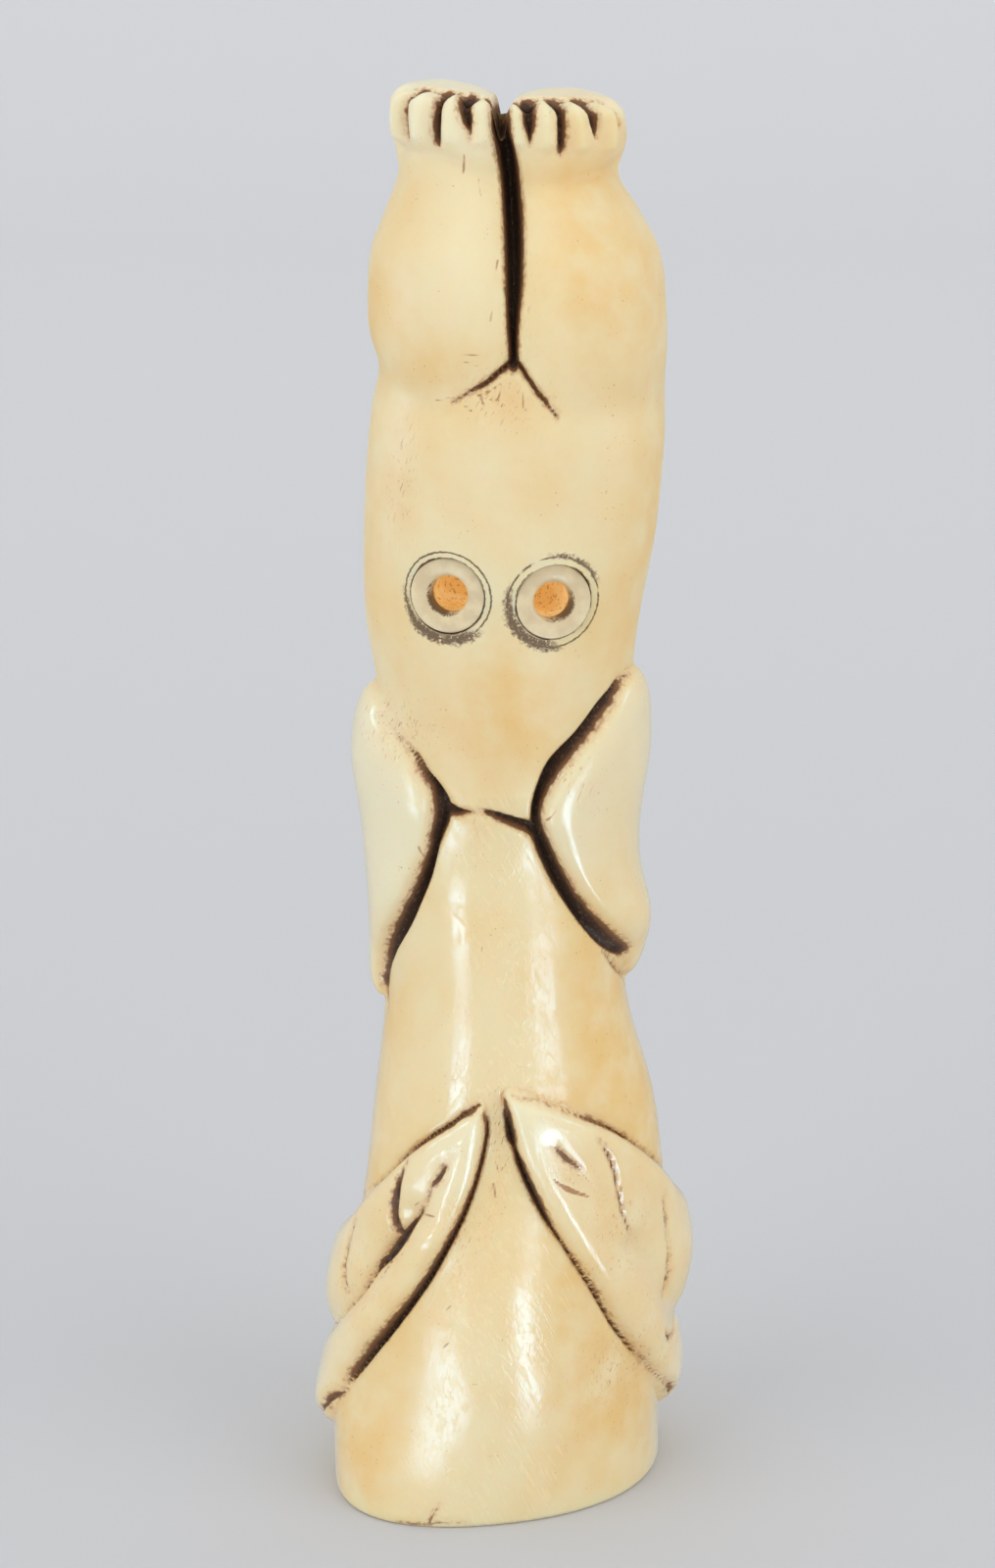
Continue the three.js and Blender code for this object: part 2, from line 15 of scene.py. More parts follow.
import bpy
import numpy as np
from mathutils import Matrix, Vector


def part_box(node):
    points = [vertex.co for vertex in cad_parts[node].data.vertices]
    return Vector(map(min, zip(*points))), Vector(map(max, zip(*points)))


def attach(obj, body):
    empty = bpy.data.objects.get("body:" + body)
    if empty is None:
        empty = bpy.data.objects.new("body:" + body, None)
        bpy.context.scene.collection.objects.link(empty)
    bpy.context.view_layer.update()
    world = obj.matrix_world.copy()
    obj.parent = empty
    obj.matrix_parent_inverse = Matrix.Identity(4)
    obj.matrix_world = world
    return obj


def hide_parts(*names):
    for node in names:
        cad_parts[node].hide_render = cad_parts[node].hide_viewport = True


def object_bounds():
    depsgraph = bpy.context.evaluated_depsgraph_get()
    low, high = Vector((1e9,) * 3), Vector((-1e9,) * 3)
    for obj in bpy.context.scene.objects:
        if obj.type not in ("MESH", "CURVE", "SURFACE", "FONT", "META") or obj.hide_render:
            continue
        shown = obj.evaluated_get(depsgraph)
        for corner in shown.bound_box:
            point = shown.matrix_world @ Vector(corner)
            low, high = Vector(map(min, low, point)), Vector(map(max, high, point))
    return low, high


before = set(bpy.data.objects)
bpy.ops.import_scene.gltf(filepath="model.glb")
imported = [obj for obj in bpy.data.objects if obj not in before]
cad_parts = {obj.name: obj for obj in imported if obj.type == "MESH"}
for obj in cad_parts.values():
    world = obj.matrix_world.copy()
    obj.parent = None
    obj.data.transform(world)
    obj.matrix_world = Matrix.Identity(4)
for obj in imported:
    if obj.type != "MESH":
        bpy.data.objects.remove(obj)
cad_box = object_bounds()
MM = 0.001
print("frame:", sorted(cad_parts), "box in mm:", [[round(v / MM, 2) for v in p] for p in cad_box])

# %% [markdown]
# ## The camera
#
# A small object is usually seen from a little above through a long lens, so that its sides stay nearly
# parallel. The camera stands behind the figure, looks along +Y and is aimed at the middle of its height.

# %% Place the camera
LENS, SENSOR = 100, 36
CAMERA_DISTANCE = 0.245
CAMERA_ELEVATION = math.radians(16)
AIM = Vector((0, 0, 0.509 * cad_box[1].z))


def point_at(obj, place, target):
    """Puts obj at place and turns its -Z axis towards target, with its Y axis as upright as it can be."""
    obj.location = place
    obj.rotation_euler = (Vector(target) - Vector(place)).to_track_quat("-Z", "Y").to_euler()


def link(name, data):
    """Makes an object of this data and links it to the scene."""
    obj = bpy.data.objects.new(name, data)
    bpy.context.scene.collection.objects.link(obj)
    return obj


camera = link("camera", bpy.data.cameras.new("camera"))
camera.data.lens = LENS
camera.data.sensor_width = SENSOR
camera.data.clip_start = 0.01
away = Vector((0, -math.cos(CAMERA_ELEVATION), math.sin(CAMERA_ELEVATION)))
point_at(camera, AIM + CAMERA_DISTANCE * away, AIM)
bpy.context.scene.camera = camera
print("camera at", [round(v, 4) for v in camera.location])

# %% [markdown]
# ## A short way to write node materials
#
# Shader nodes can be added and linked by hand, but a material of fifty nodes is then hard to read. Here a
# `Shader` adds any node in one call, and a `Field` stands for one output of a node. Arithmetic on fields adds
# Math nodes, so that a mask can be written as a formula.


# %% A field: one output of a node
class Field:
    """A number or colour that varies over a surface: one output socket. Operators add Math nodes."""

    def __init__(self, shader, socket):
        self.shader = shader
        self.socket = socket

    def _math(self, operation, *values):
        return self.shader.node("ShaderNodeMath", {"operation": operation}, dict(enumerate(values)))

    def __add__(self, other):
        return self._math("ADD", self, other)

    def __sub__(self, other):
        return self._math("SUBTRACT", self, other)

    def __rsub__(self, other):
        return self._math("SUBTRACT", other, self)

    def __mul__(self, other):
        return self._math("MULTIPLY", self, other)

    def larger(self, other):
        return self._math("MAXIMUM", self, other)

    def power(self, other):
        return self._math("POWER", self, other)

    def __abs__(self):
        return self._math("ABSOLUTE", self)

    def step(self, low, high):
        """0 below low, 1 above high and a smooth slope between them."""
        names = ("Value", "From Min", "From Max")
        settings = {"interpolation_type": "SMOOTHSTEP"}
        return self.shader.node("ShaderNodeMapRange", settings, dict(zip(names, (self, low, high))))

    __radd__ = __add__
    __rmul__ = __mul__


# %% A shader: a material that any node is added to
class Shader:
    """A new material. node() adds a node: its type, its settings, its inputs, and which output is wanted."""

    def __init__(self, name):
        self.material = bpy.data.materials.new(name)
        self.material.use_nodes = True
        self.tree = self.material.node_tree
        self.tree.nodes.clear()

    def node(self, kind, settings=None, inputs=None, output=0):
        made = self.tree.nodes.new(kind)
        for name, value in (settings or {}).items():
            setattr(made, name, value)
        for name, value in (inputs or {}).items():
            if isinstance(value, Field):
                self.tree.links.new(value.socket, made.inputs[name])
            else:
                made.inputs[name].default_value = value
        return Field(self, made.outputs[output])

    def attribute(self, name):
        return self.node("ShaderNodeAttribute", {"attribute_name": name}, output="Fac")

    def vector(self, operation, first, second, output=0):
        """Sums on vectors, which a Math node would turn into numbers."""
        return self.node("ShaderNodeVectorMath", {"operation": operation}, {0: first, 1: second}, output)

    def place(self):
        """The piece's own coordinates, in millimetres."""
        metres = self.node("ShaderNodeTexCoord", output="Object")
        return self.node("ShaderNodeVectorMath", {"operation": "SCALE"}, {0: metres, "Scale": 1 / MM})

    def noise(self, place, size, detail=3, roughness=0.55, stretch=None, turn=(0, 0, 0)):
        """Soft random values round 0.5, with blobs about size millimetres across."""
        if stretch:
            settings = {"vector_type": "TEXTURE"}
            place = self.node("ShaderNodeMapping", settings, {0: place, "Rotation": turn, "Scale": stretch})
        inputs = {"Vector": place, "Scale": 1 / size, "Detail": detail, "Roughness": roughness}
        return self.node("ShaderNodeTexNoise", inputs=inputs)

    def mix(self, share, first, second):
        """A colour from first to second as share goes from 0 to 1."""
        inputs = {0: share, 6: first, 7: second}
        return self.node("ShaderNodeMix", {"data_type": "RGBA"}, inputs, output=2)

    def end_with(self, shader):
        """Joins a shader node to the material's output, and gives the finished material."""
        end = self.tree.nodes.new("ShaderNodeOutputMaterial")
        self.tree.links.new(shader.socket, end.inputs["Surface"])
        print("material:", self.material.name, "with", len(self.tree.nodes), "nodes")
        return self.material

    def surface(self, inputs):
        """Ends the material with one Principled shader."""
        return self.end_with(self.node("ShaderNodeBsdfPrincipled", inputs=inputs))


# %% Colours
def colour(red, green, blue):
    """A colour given as it looks on a screen, 0 to 255, in the linear values that shaders use."""
    shown = np.array([red, green, blue]) / 255
    linear = np.where(shown < 0.04045, shown / 12.92, ((shown + 0.055) / 1.055) ** 2.4)
    return (*linear.tolist(), 1.0)


print("half grey on a screen is", round(colour(128, 128, 128)[0], 3), "in a shader")

# %% [markdown]
# ## The block
#
# The carver starts from a tapered block that is nearly round. Its surface is a function of two parameters:
# the angle round the axis (0 at the middle of the back, positive towards +X) and the height. At each height
# the section is a superellipse, which is an ellipse with a power that makes it a little squarer, and a table
# of stations gives its sizes. Smooth cubics join the stations, so that a few rows describe the whole outline.

# %% The stations of the block, in millimetres
HEIGHT = 79.9  # of the soles, in the middle
SOLE_EDGE = 0.9  # rounding of the rim of the soles
SOLE_FALL = (0.07, 0.1)  # how far the soles sink for each millimetre towards +X and +Y
SOLE_FALL_FROM = 73
FOOT_EDGE = 0.35
UNROLL_RADIUS = 8  # turns an angle into millimetres

# height, half width, half depth, x and y of the axis, squareness, slew backwards towards +X
BLOCK = np.array([
    (0, 9.45, 9.15, 0.05, -0.15, 2.4, 0.22),
    (3, 9.45, 9.15, 0, -0.1, 2.25, 0.18),
    (8, 9.35, 8.85, 0.3, 0.15, 2.05, 0.12),
    (13, 9.0, 8.3, 0.75, 0.35, 2.0, 0.1),
    (18, 8.55, 7.7, 1.0, 0.6, 2.05, 0.08),
    (22.5, 8.0, 7.2, 0.96, 0.8, 2.1, 0.05),
    (28, 6.95, 6.6, 0.52, 0.95, 2.1, 0),
    (33, 6.55, 6.15, 0.27, 1.0, 2.1, 0),
    (38, 6.75, 5.85, 0.15, 1.0, 2.1, 0),
    (43, 7.1, 6.2, 0.15, 0.7, 2.15, 0),
    (47, 7.1, 6.75, 0.35, 0.35, 2.2, 0),
    (51, 7.6, 7.3, 0.28, 0.15, 2.2, 0),
    (55.6, 8.05, 7.6, 0.65, 0, 2.2, 0),
    (60, 8.15, 7.6, 0.97, 0, 2.2, 0),
    (64, 8.05, 7.5, 1.2, 0, 2.2, 0),
    (68, 8.15, 7.5, 1.07, 0, 2.2, 0),
    (71.3, 7.85, 6.9, 0.97, 0, 2.2, 0),
    (73.5, 6.9, 5.9, 0.8, 0, 2.3, 0),
    (75.6, 5.95, 5.0, 0.6, 0.1, 2.4, 0),
    (77.7, 6.35, 5.2, 0.6, 0.1, 2.5, 0),
    (79, 6.3, 5.0, 0.55, 0.1, 2.6, 0),
    (HEIGHT, 6.1, 4.8, 0.52, 0.1, 2.6, 0),
])

print("block:", len(BLOCK), "stations, top at", HEIGHT, "mm")


# %% The surface of the block
def cubic(knots, values, at):
    """A smooth curve through rows of values at knots. Between two knots it is the cubic that has their values
    and their slopes, and a knot's slope is that of the line from the knot before it to the knot after it."""
    order = np.arange(len(knots))
    before, after = np.maximum(order - 1, 0), np.minimum(order + 1, len(knots) - 1)
    slopes = (values[after] - values[before]) / (knots[after] - knots[before])[:, None]
    i = np.clip(np.searchsorted(knots, at, side="right") - 1, 0, len(knots) - 2)
    step = (knots[i + 1] - knots[i])[:, None]
    t = np.clip((at - knots[i])[:, None] / step, 0, 1)
    ends = values[i] * (1 + 2 * t) * (1 - t) ** 2 + values[i + 1] * t * t * (3 - 2 * t)
    return ends + step * t * (1 - t) * (slopes[i] * (1 - t) - slopes[i + 1] * t)


def smooth(value, low, high):
    """0 below low, 1 above high, and 3t2 - 2t3 between them."""
    t = np.clip((value - low) / (high - low), 0, 1)
    return t * t * (3 - 2 * t)


def block_point(angle, height, share=1.0):
    """A point of the block: radius = share x (|sin/width|^n + |cos/depth|^n)^(-1/n), laid off from the axis
    at that height, slewed backwards by slew times the way to the right, and sunk by the fall of the soles
    near the top."""
    width, depth, x0, y0, square, slew = cubic(BLOCK[:, 0], BLOCK[:, 1:], height).T
    s, c = np.sin(np.radians(angle)), np.cos(np.radians(angle))
    radius = share * (np.abs(s / width) ** square + np.abs(c / depth) ** square) ** (-1 / square)
    x = x0 + radius * s
    y = y0 + radius * (slew * s - c)
    fall = (SOLE_FALL[0] * x + SOLE_FALL[1] * y) * smooth(height, SOLE_FALL_FROM, HEIGHT)
    return np.stack([x, y, height - fall], -1)


def unit(vectors):
    return vectors / np.linalg.norm(vectors, axis=-1, keepdims=True)


def outwards(angle, height, share=1.0):
    """The way out of the block: the cross product of a small step round it and a small step up it. On the rim
    it turns towards straight up, by the angle of the rim's rounding there."""
    side = np.minimum(height, HEIGHT - SOLE_EDGE)
    along = block_point(angle + 1, side) - block_point(angle - 1, side)
    up = block_point(angle, side) - block_point(angle, side - 0.2)
    out = unit(np.cross(along, up))
    rise = np.maximum(0, height - side)
    top_width = BLOCK[-1, 1]
    reach = np.maximum(0, (share - 1) * top_width + SOLE_EDGE)
    turn = np.where(rise > 0, np.arctan2(rise, np.maximum(reach, 1e-9)), 0)[:, None]
    return unit(out * np.cos(turn) + np.sin(turn) * np.array([0, 0, 1]))


waist = block_point(np.array([-90.0, 90.0]), np.array([33.0, 33.0]))
print("the stem is", round(float(np.ptp(waist[:, 0])), 2), "mm across at its waist")

# %% [markdown]
# ## The grid
#
# One closed skin covers the block: rows of points run out across the underside, over its edge, up the side,
# over the rim and in across the soles, and a single point closes each end. The columns crowd towards the
# back, where the carving is, and the rows are close where there are fine cuts and wide where the ivory is
# plain. That keeps the piece under 200,000 triangles without losing the cuts.

# %% Angles and heights of the grid
COLUMNS = 236
BACK_CROWDING = 0.46
# from each height up, how far apart the rows are
ROW_SPACING = [
    (FOOT_EDGE, 0.28), (2.6, 0.175), (25.4, 0.4), (28, 0.19), (49, 0.7), (63, 0.2), (67.5, 0.4), (74.3, 0.14),
]
UNDERSIDE = (0.05, 0.3, 0.6, 0.85)  # shares of the rows under the foot
SOLE_ROWS = 28


def grid_columns():
    """Even turns t, drawn towards 0 by t - crowding x sin t."""
    turn = (np.arange(COLUMNS) + 0.5) / COLUMNS * 2 * np.pi - np.pi
    return np.degrees(turn - BACK_CROWDING * np.sin(turn))


def grid_rows():
    """Height and share of each row, from the middle of the underside to the middle of the soles."""
    quarter = np.radians(np.linspace(0, 90, 7))
    under = [(0, share) for share in UNDERSIDE]
    foot = [(FOOT_EDGE * (1 - math.cos(a)), 1 - FOOT_EDGE * (1 - math.sin(a)) / BLOCK[0, 1]) for a in quarter]
    ends = [low for low, _ in ROW_SPACING[1:]] + [HEIGHT - SOLE_EDGE]
    side = [
        (height, 1)
        for (low, step), high in zip(ROW_SPACING, ends)
        for height in np.linspace(low, high, round((high - low) / step), endpoint=False)
    ]
    top = BLOCK[-1, 1]
    edge = np.radians(np.linspace(0, 90, 11))
    rim = [(HEIGHT - SOLE_EDGE * (1 - math.sin(a)), 1 - SOLE_EDGE * (1 - math.cos(a)) / top) for a in edge]
    soles = [(HEIGHT, share) for share in np.linspace(1 - SOLE_EDGE / top, 0.02, SOLE_ROWS)[1:]]
    return np.array(under + foot + side[1:] + rim + soles)


rows = grid_rows()
columns = grid_columns()
angle = np.tile(columns, len(rows))
height = np.repeat(rows[:, 0], COLUMNS)
share = np.repeat(rows[:, 1], COLUMNS)
base = block_point(angle, height, share)
print("grid:", len(rows), "rows x", COLUMNS, "columns,", 2 * len(rows) * COLUMNS, "triangles")

# %% [markdown]
# ## Arms, leaves, folds and muscles
#
# An arm or a leaf stands proud of the block inside a closed outline. The outline is drawn on the unrolled
# surface, and each point's distance to it gives the lift: a quarter round from the edge, then level. Soft
# swellings, such as an elbow or a calf, are bells, and soft hollows are bells across a route.

# %% Outlines: rise, width of the slope inside the edge, and corners as (angle, height)
RAISED = {
    "left arm": (1.05, 2.2, [
        (-69, 47), (-50, 45.2), (-36, 42.9), (-31.5, 41), (-37, 38.6), (-52, 34.9), (-76, 31.2), (-84, 28.5),
        (-102, 29), (-125, 32.5), (-150, 35.5), (-168, 37), (-168, 42), (-145, 43), (-115, 45.5), (-90, 47.1),
    ]),
    "right arm": (1.1, 2.2, [
        (62, 48.3), (48, 46.8), (33, 44.4), (24, 42.7), (20, 40.6), (25.5, 38.6), (45, 34.7), (70, 31.9),
        (84, 29.8), (100, 29.8), (125, 32.5), (150, 35.5), (168, 37), (168, 42), (145, 43.5), (115, 46),
        (85, 48.1),
    ]),
    "left leaf": (1.0, 1.3, [
        (-13, 24.2), (-13.5, 22.2), (-21, 18.3), (-34, 14.2), (-50, 10.5), (-63, 7.6), (-75, 4.8),
        (-88, 3.2), (-108, 3.6), (-130, 6), (-150, 10.5), (-140, 13), (-115, 14.4), (-90, 15.2),
        (-66.5, 18.2), (-47, 21), (-30, 22.8),
    ]),
    "right leaf": (1.05, 1.3, [
        (-3.5, 25), (-1, 22.4), (8, 19.1), (24, 15.2), (43.5, 10.7), (62, 6.9), (78, 4), (92, 3), (112, 3.6),
        (132, 6.5), (150, 10.5), (140, 14), (115, 16), (90, 16.6), (67, 19.4), (39.5, 22.6), (13, 24.6),
    ]),
}

print("outlines:", list(RAISED))

# %% Swellings and hollows
# middle, how far it reaches round in degrees and up in millimetres, and the rise
SWELLINGS = {
    "right elbow": ((84, 33.4), (34, 2.6), 0.85),
    "left shoulder": ((-88, 43.2), (34, 2.8), 0.25),
    "right shoulder": ((84, 43.6), (34, 2.8), 0.25),
    "left leaf, upper fold": ((-88, 12), (26, 2.3), 0.45),
    "left leaf, lower fold": ((-84, 5), (24, 1.4), 0.25),
    "left leaf, ridge": ((-33, 16.4), (14, 1.3), 0.22),
    "right leaf, upper fold": ((86, 13.2), (26, 2.6), 0.6),
    "right leaf, lower fold": ((84, 6), (22, 1.6), 0.25),
    "left calf": ((-32, 70), (24, 3.6), 0.4),
    "right calf": ((36, 70), (26, 3.8), 0.4),
    "dome of the foot": ((-3, 10), (27, 7.5), 0.75),
}

# route, full width and depth; a ridge is a hollow of negative depth
HOLLOWS = {
    "shoulders of the cleft": ([(-4, 78), (1.5, 75.6), (-1.5, 70), (-2.2, 66.6)], 4, 0.6),
    "in front of the cleft": ([(180, 78), (180, 70), (180, 65)], 5, 0.8),
    "above the left haunch": ([(-14, 65), (-37, 64), (-73, 64.9), (-100, 65.2)], 4, 0.4),
    "above the right haunch": ([(5, 64.6), (33, 63.6), (60, 63.8), (80, 63.8)], 4, 0.3),
    "left leaf fold": ([(-40, 17.6), (-48, 15.7), (-62, 12.4), (-90, 8.6), (-120, 8.4)], 2.4, 0.5),
    "left leaf hollow": ([(-28, 21.4), (-32, 19.8), (-38, 18)], 1.9, 0.15),
    "right leaf fold": ([(48, 15.4), (60, 12.6), (78, 9.4), (115, 8.6)], 2.6, 0.45),
    "right leaf hollow": ([(14, 21.8), (22, 20.4), (31, 18.6)], 2.2, 0.12),
    "left ankle": ([(-75, 76.7), (-40, 76.5), (-12, 75.7)], 1.6, 0.34),
    "right ankle": ([(12, 75.5), (40, 75.7), (75, 76.3)], 1.6, 0.34),
}

print("swellings:", len(SWELLINGS), "hollows and ridges:", len(HOLLOWS))

# %% The soles and the toes
# Each sole has a pad that falls away to the cleft between them.
HOLLOWS |= {
    "pad of the left sole": ([(-90, HEIGHT, 0, 0, 0.5), (-130, HEIGHT, 0, 0, 0.75)], 5.6, -0.38),
    "pad of the right sole": ([(90, HEIGHT, 0, 0, 0.5), (130, HEIGHT, 0, 0, 0.8)], 6, -0.42),
    "between the soles": (
        [(-4.6, HEIGHT, 0, 0, 1), (0, HEIGHT, 0, 0, 0), (180, HEIGHT, 0, 0, 1)], 2.8, 0.4,
    ),
}
# The toes are ridges up the foot that end below the pad of the sole, on a shelf along the rim. A share is
# the share of the way out from the axis.
TOE_ANGLES = (-66, -50, -32.5, -15.5, 4, 21.8, 39.8, 58)
TOE_LOW, TOE_TOP, TOE_TIP_SHARE = 77.6, 79.6, 0.96
TOE_WIDTH, TOE_RISE = 1.35, 0.46
SHELF_HEIGHT, SHELF_SHARE, SHELF_WIDTH, SHELF_DEPTH = 79.7, 0.94, 1.5, 0.5
PAD_EDGE = 0.84  # share at which the pad begins
for toe in TOE_ANGLES:
    tip = (toe, TOE_TOP, 0, 0, TOE_TIP_SHARE)
    HOLLOWS[f"toe {toe}"] = ([(toe, TOE_LOW), (toe, HEIGHT - SOLE_EDGE), tip], TOE_WIDTH, -TOE_RISE)
for turns in ((-78, -60, -40, -20, -10), (4, 20, 40, 60, 72)):
    shelf = [(turn, SHELF_HEIGHT, 0, 0, SHELF_SHARE) for turn in turns]
    HOLLOWS[f"shelf {turns[0]}"] = (shelf, SHELF_WIDTH, SHELF_DEPTH)
print("toes:", len(TOE_ANGLES))


# %% How far the raised parts stand out
def closed_curve(points, count):
    """Points along a smooth closed curve: the cubic through the corners, which starts and ends three corners
    early and late so that it closes without a kink."""
    corners = np.array(points, float)
    around = np.concatenate([corners[-3:], corners, corners[:3]])
    knots = np.concatenate([[0], np.cumsum(np.linalg.norm(np.diff(around, axis=0), axis=1))])
    return cubic(knots, around, np.linspace(knots[3], knots[-3], count, endpoint=False))


def depth_inside(places, outline):
    """Distance from each place to the outline, positive inside it. A place is inside if a level line from it
    crosses the outline an odd number of times."""
    a, b = outline, np.roll(outline, -1, axis=0)
    side = b - a
    rise = np.where(np.abs(side[:, 1]) < 1e-9, 1e-9, side[:, 1])
    to = places[:, None] - a
    t = np.clip((to * side).sum(-1) / (side**2).sum(-1), 0, 1)
    away = np.linalg.norm(to - t[..., None] * side, axis=-1).min(1)
    up = to[..., 1] / rise
    crossed = (up > 0) & (up <= 1) & (to[..., 0] < side[:, 0] * up)
    return np.where(crossed.sum(1) % 2 == 1, away, -away)


def unroll(places):
    """[angle, height] as millimetres on the unrolled surface."""
    return np.array(places, float) * (math.radians(1) * UNROLL_RADIUS, 1)


def raised_areas():
    """How far the raised areas lift each grid point, in millimetres: rise x sqrt(1 - (1 - t)^2), where t goes
    from 0 on the outline to 1 at the slope's width inside it. Also how far inside an outline the point is."""
    unrolled = unroll(np.stack([angle, height], -1))
    lift, within = np.zeros(len(height)), np.zeros(len(height))
    for rise, slope, outline in RAISED.values():
        curve = closed_curve(unroll(outline), 120)
        near = (height > curve[:, 1].min()) & (height < curve[:, 1].max()) & (share == 1)
        inside = depth_inside(unrolled[near], curve)
        t = np.clip(inside / slope, 0, 1)
        lift[near] = np.maximum(lift[near], rise * np.sqrt(1 - (1 - t) ** 2))
        within[near] = np.maximum(within[near], inside)
    return lift, within


def bells(table):
    """The sum of rise x exp(-(angle way)^2 - (height way)^2) over the swellings."""
    total = np.zeros(len(angle))
    for (at_angle, at_height), (reach_angle, reach_height), rise in table:
        wide, tall = (angle - at_angle) / reach_angle, (height - at_height) / reach_height
        total += rise * np.exp(-wide * wide - tall * tall)
    return total


raised, within = raised_areas()
swollen = bells(SWELLINGS.values())
print("raised areas lift up to", round(float(raised.max()), 2), "mm")

# %% [markdown]
# ## Cuts
#
# The dark lines are V-shaped gouge cuts that narrow and widen along their way. Each row of a cut gives the
# angle, the height, the width of its stain and its depth there, and for cuts that run on over the soles also
# the share of the way out from the axis. A smooth path runs through the rows. A point's distance to the path
# gives both how deep the surface sinks there and how far it is from the edge of the stain.

# %% The cleft: rows of (angle, height, width, depth[, share])
CLEFT = {
    "between the legs, behind": [
        (-4.6, 79.9, 1.0, 1.6), (-4.6, 78.4, 1.1, 2.0), (-2.8, 77.1, 1.1, 2.1), (1.3, 75.6, 1.15, 2.1),
        (0.8, 73.8, 1.16, 2.0), (-1.0, 70.8, 1.06, 1.7), (-2.0, 68.4, 0.74, 1.3), (-2.2, 66.9, 0.6, 1.1),
        (-2.3, 66.2, 0.75, 0.9),
    ],
    "between the feet": [
        (-4.6, HEIGHT, 1.0, 1.9, 1.0), (-3, HEIGHT, 1.0, 2.0, 0.5), (0, HEIGHT, 1.0, 2.0, 0.0),
        (180, HEIGHT, 1.0, 2.0, 0.5), (180, HEIGHT, 1.0, 1.8, 1.0),
    ],
    "between the legs, in front": [
        (180, HEIGHT, 1.0, 1.6), (180, 77, 1.0, 1.6), (180, 71, 0.9, 1.2), (180, 65, 0.3, 0.3),
    ],
}
print("the cleft is up to", max(row[3] for row in CLEFT["between the legs, behind"]), "mm deep")

# %% Cuts of the haunches and the arms
CUTS = {
    "left haunch": [
        (-2.5, 66.4, 0.6, 0.8), (-8.2, 65.9, 0.36, 0.5), (-15, 65.2, 0.36, 0.4), (-20, 64.9, 0.24, 0.3),
        (-25, 64.5, 0.16, 0.12), (-29, 64.2, 0.06, 0.05),
    ],
    "right haunch": [
        (-2, 66.4, 0.5, 0.8), (0.8, 66.1, 0.34, 0.6), (3.8, 65.5, 0.3, 0.45), (7.5, 64.8, 0.32, 0.4),
        (11.5, 64.2, 0.28, 0.3), (15.5, 63.5, 0.2, 0.2),
    ],
    "left arm": [
        (-64, 46.2, 0.04, 0.15), (-52, 45.1, 0.08, 0.3), (-42.8, 44, 0.26, 0.4), (-38, 43.1, 0.42, 0.5),
        (-32.8, 42.2, 0.72, 0.7), (-30.4, 41.1, 1.15, 0.9), (-32.8, 40.1, 1.05, 0.9), (-36, 39, 0.74, 0.8),
        (-41.5, 37.1, 0.8, 0.85), (-47.8, 35.7, 0.92, 0.9), (-56.8, 34, 1.04, 0.9), (-70, 32.1, 0.95, 0.85),
        (-78, 30.7, 0.78, 0.7), (-80, 29.5, 0.58, 0.5), (-78, 28.3, 0.2, 0.3),
    ],
    "left end of the stem's top": [
        (-30.4, 41.1, 1.1, 0.9), (-23.2, 40.9, 0.66, 0.6), (-14.5, 40.9, 0.1, 0.25),
    ],
    "top of the stem": [
        (-10.6, 41, 0.1, 0.25), (-6, 40.9, 0.4, 0.45), (-1.2, 40.7, 0.55, 0.6), (8.2, 40.3, 0.66, 0.75),
        (15.8, 40, 0.76, 0.85), (21.2, 39.5, 0.9, 0.95),
    ],
    "right arm": [
        (67.8, 48.4, 0.05, 0.12), (57.8, 48, 0.28, 0.3), (53, 47.4, 0.64, 0.45), (48.2, 46.8, 0.85, 0.6),
        (38.2, 45.3, 0.84, 0.7), (28.2, 43.8, 1.05, 0.85), (23.8, 42.7, 0.95, 0.9), (20.6, 41.6, 0.8, 0.9),
        (19.6, 40.7, 0.74, 0.95), (21, 39.8, 0.98, 1.0), (27.8, 38, 1.12, 1.05), (39, 35.7, 1.07, 1.0),
        (53, 33.4, 1.06, 0.9), (62, 32.4, 0.95, 0.7), (70, 31.8, 0.75, 0.4), (73.8, 31.5, 0.3, 0.2),
    ],
    "below the right elbow": [(55.5, 32.2, 0.1, 0.15), (66, 30.9, 0.18, 0.25), (84, 29.6, 0.1, 0.3)],
}
print("cuts of the haunches and the arms:", len(CUTS))

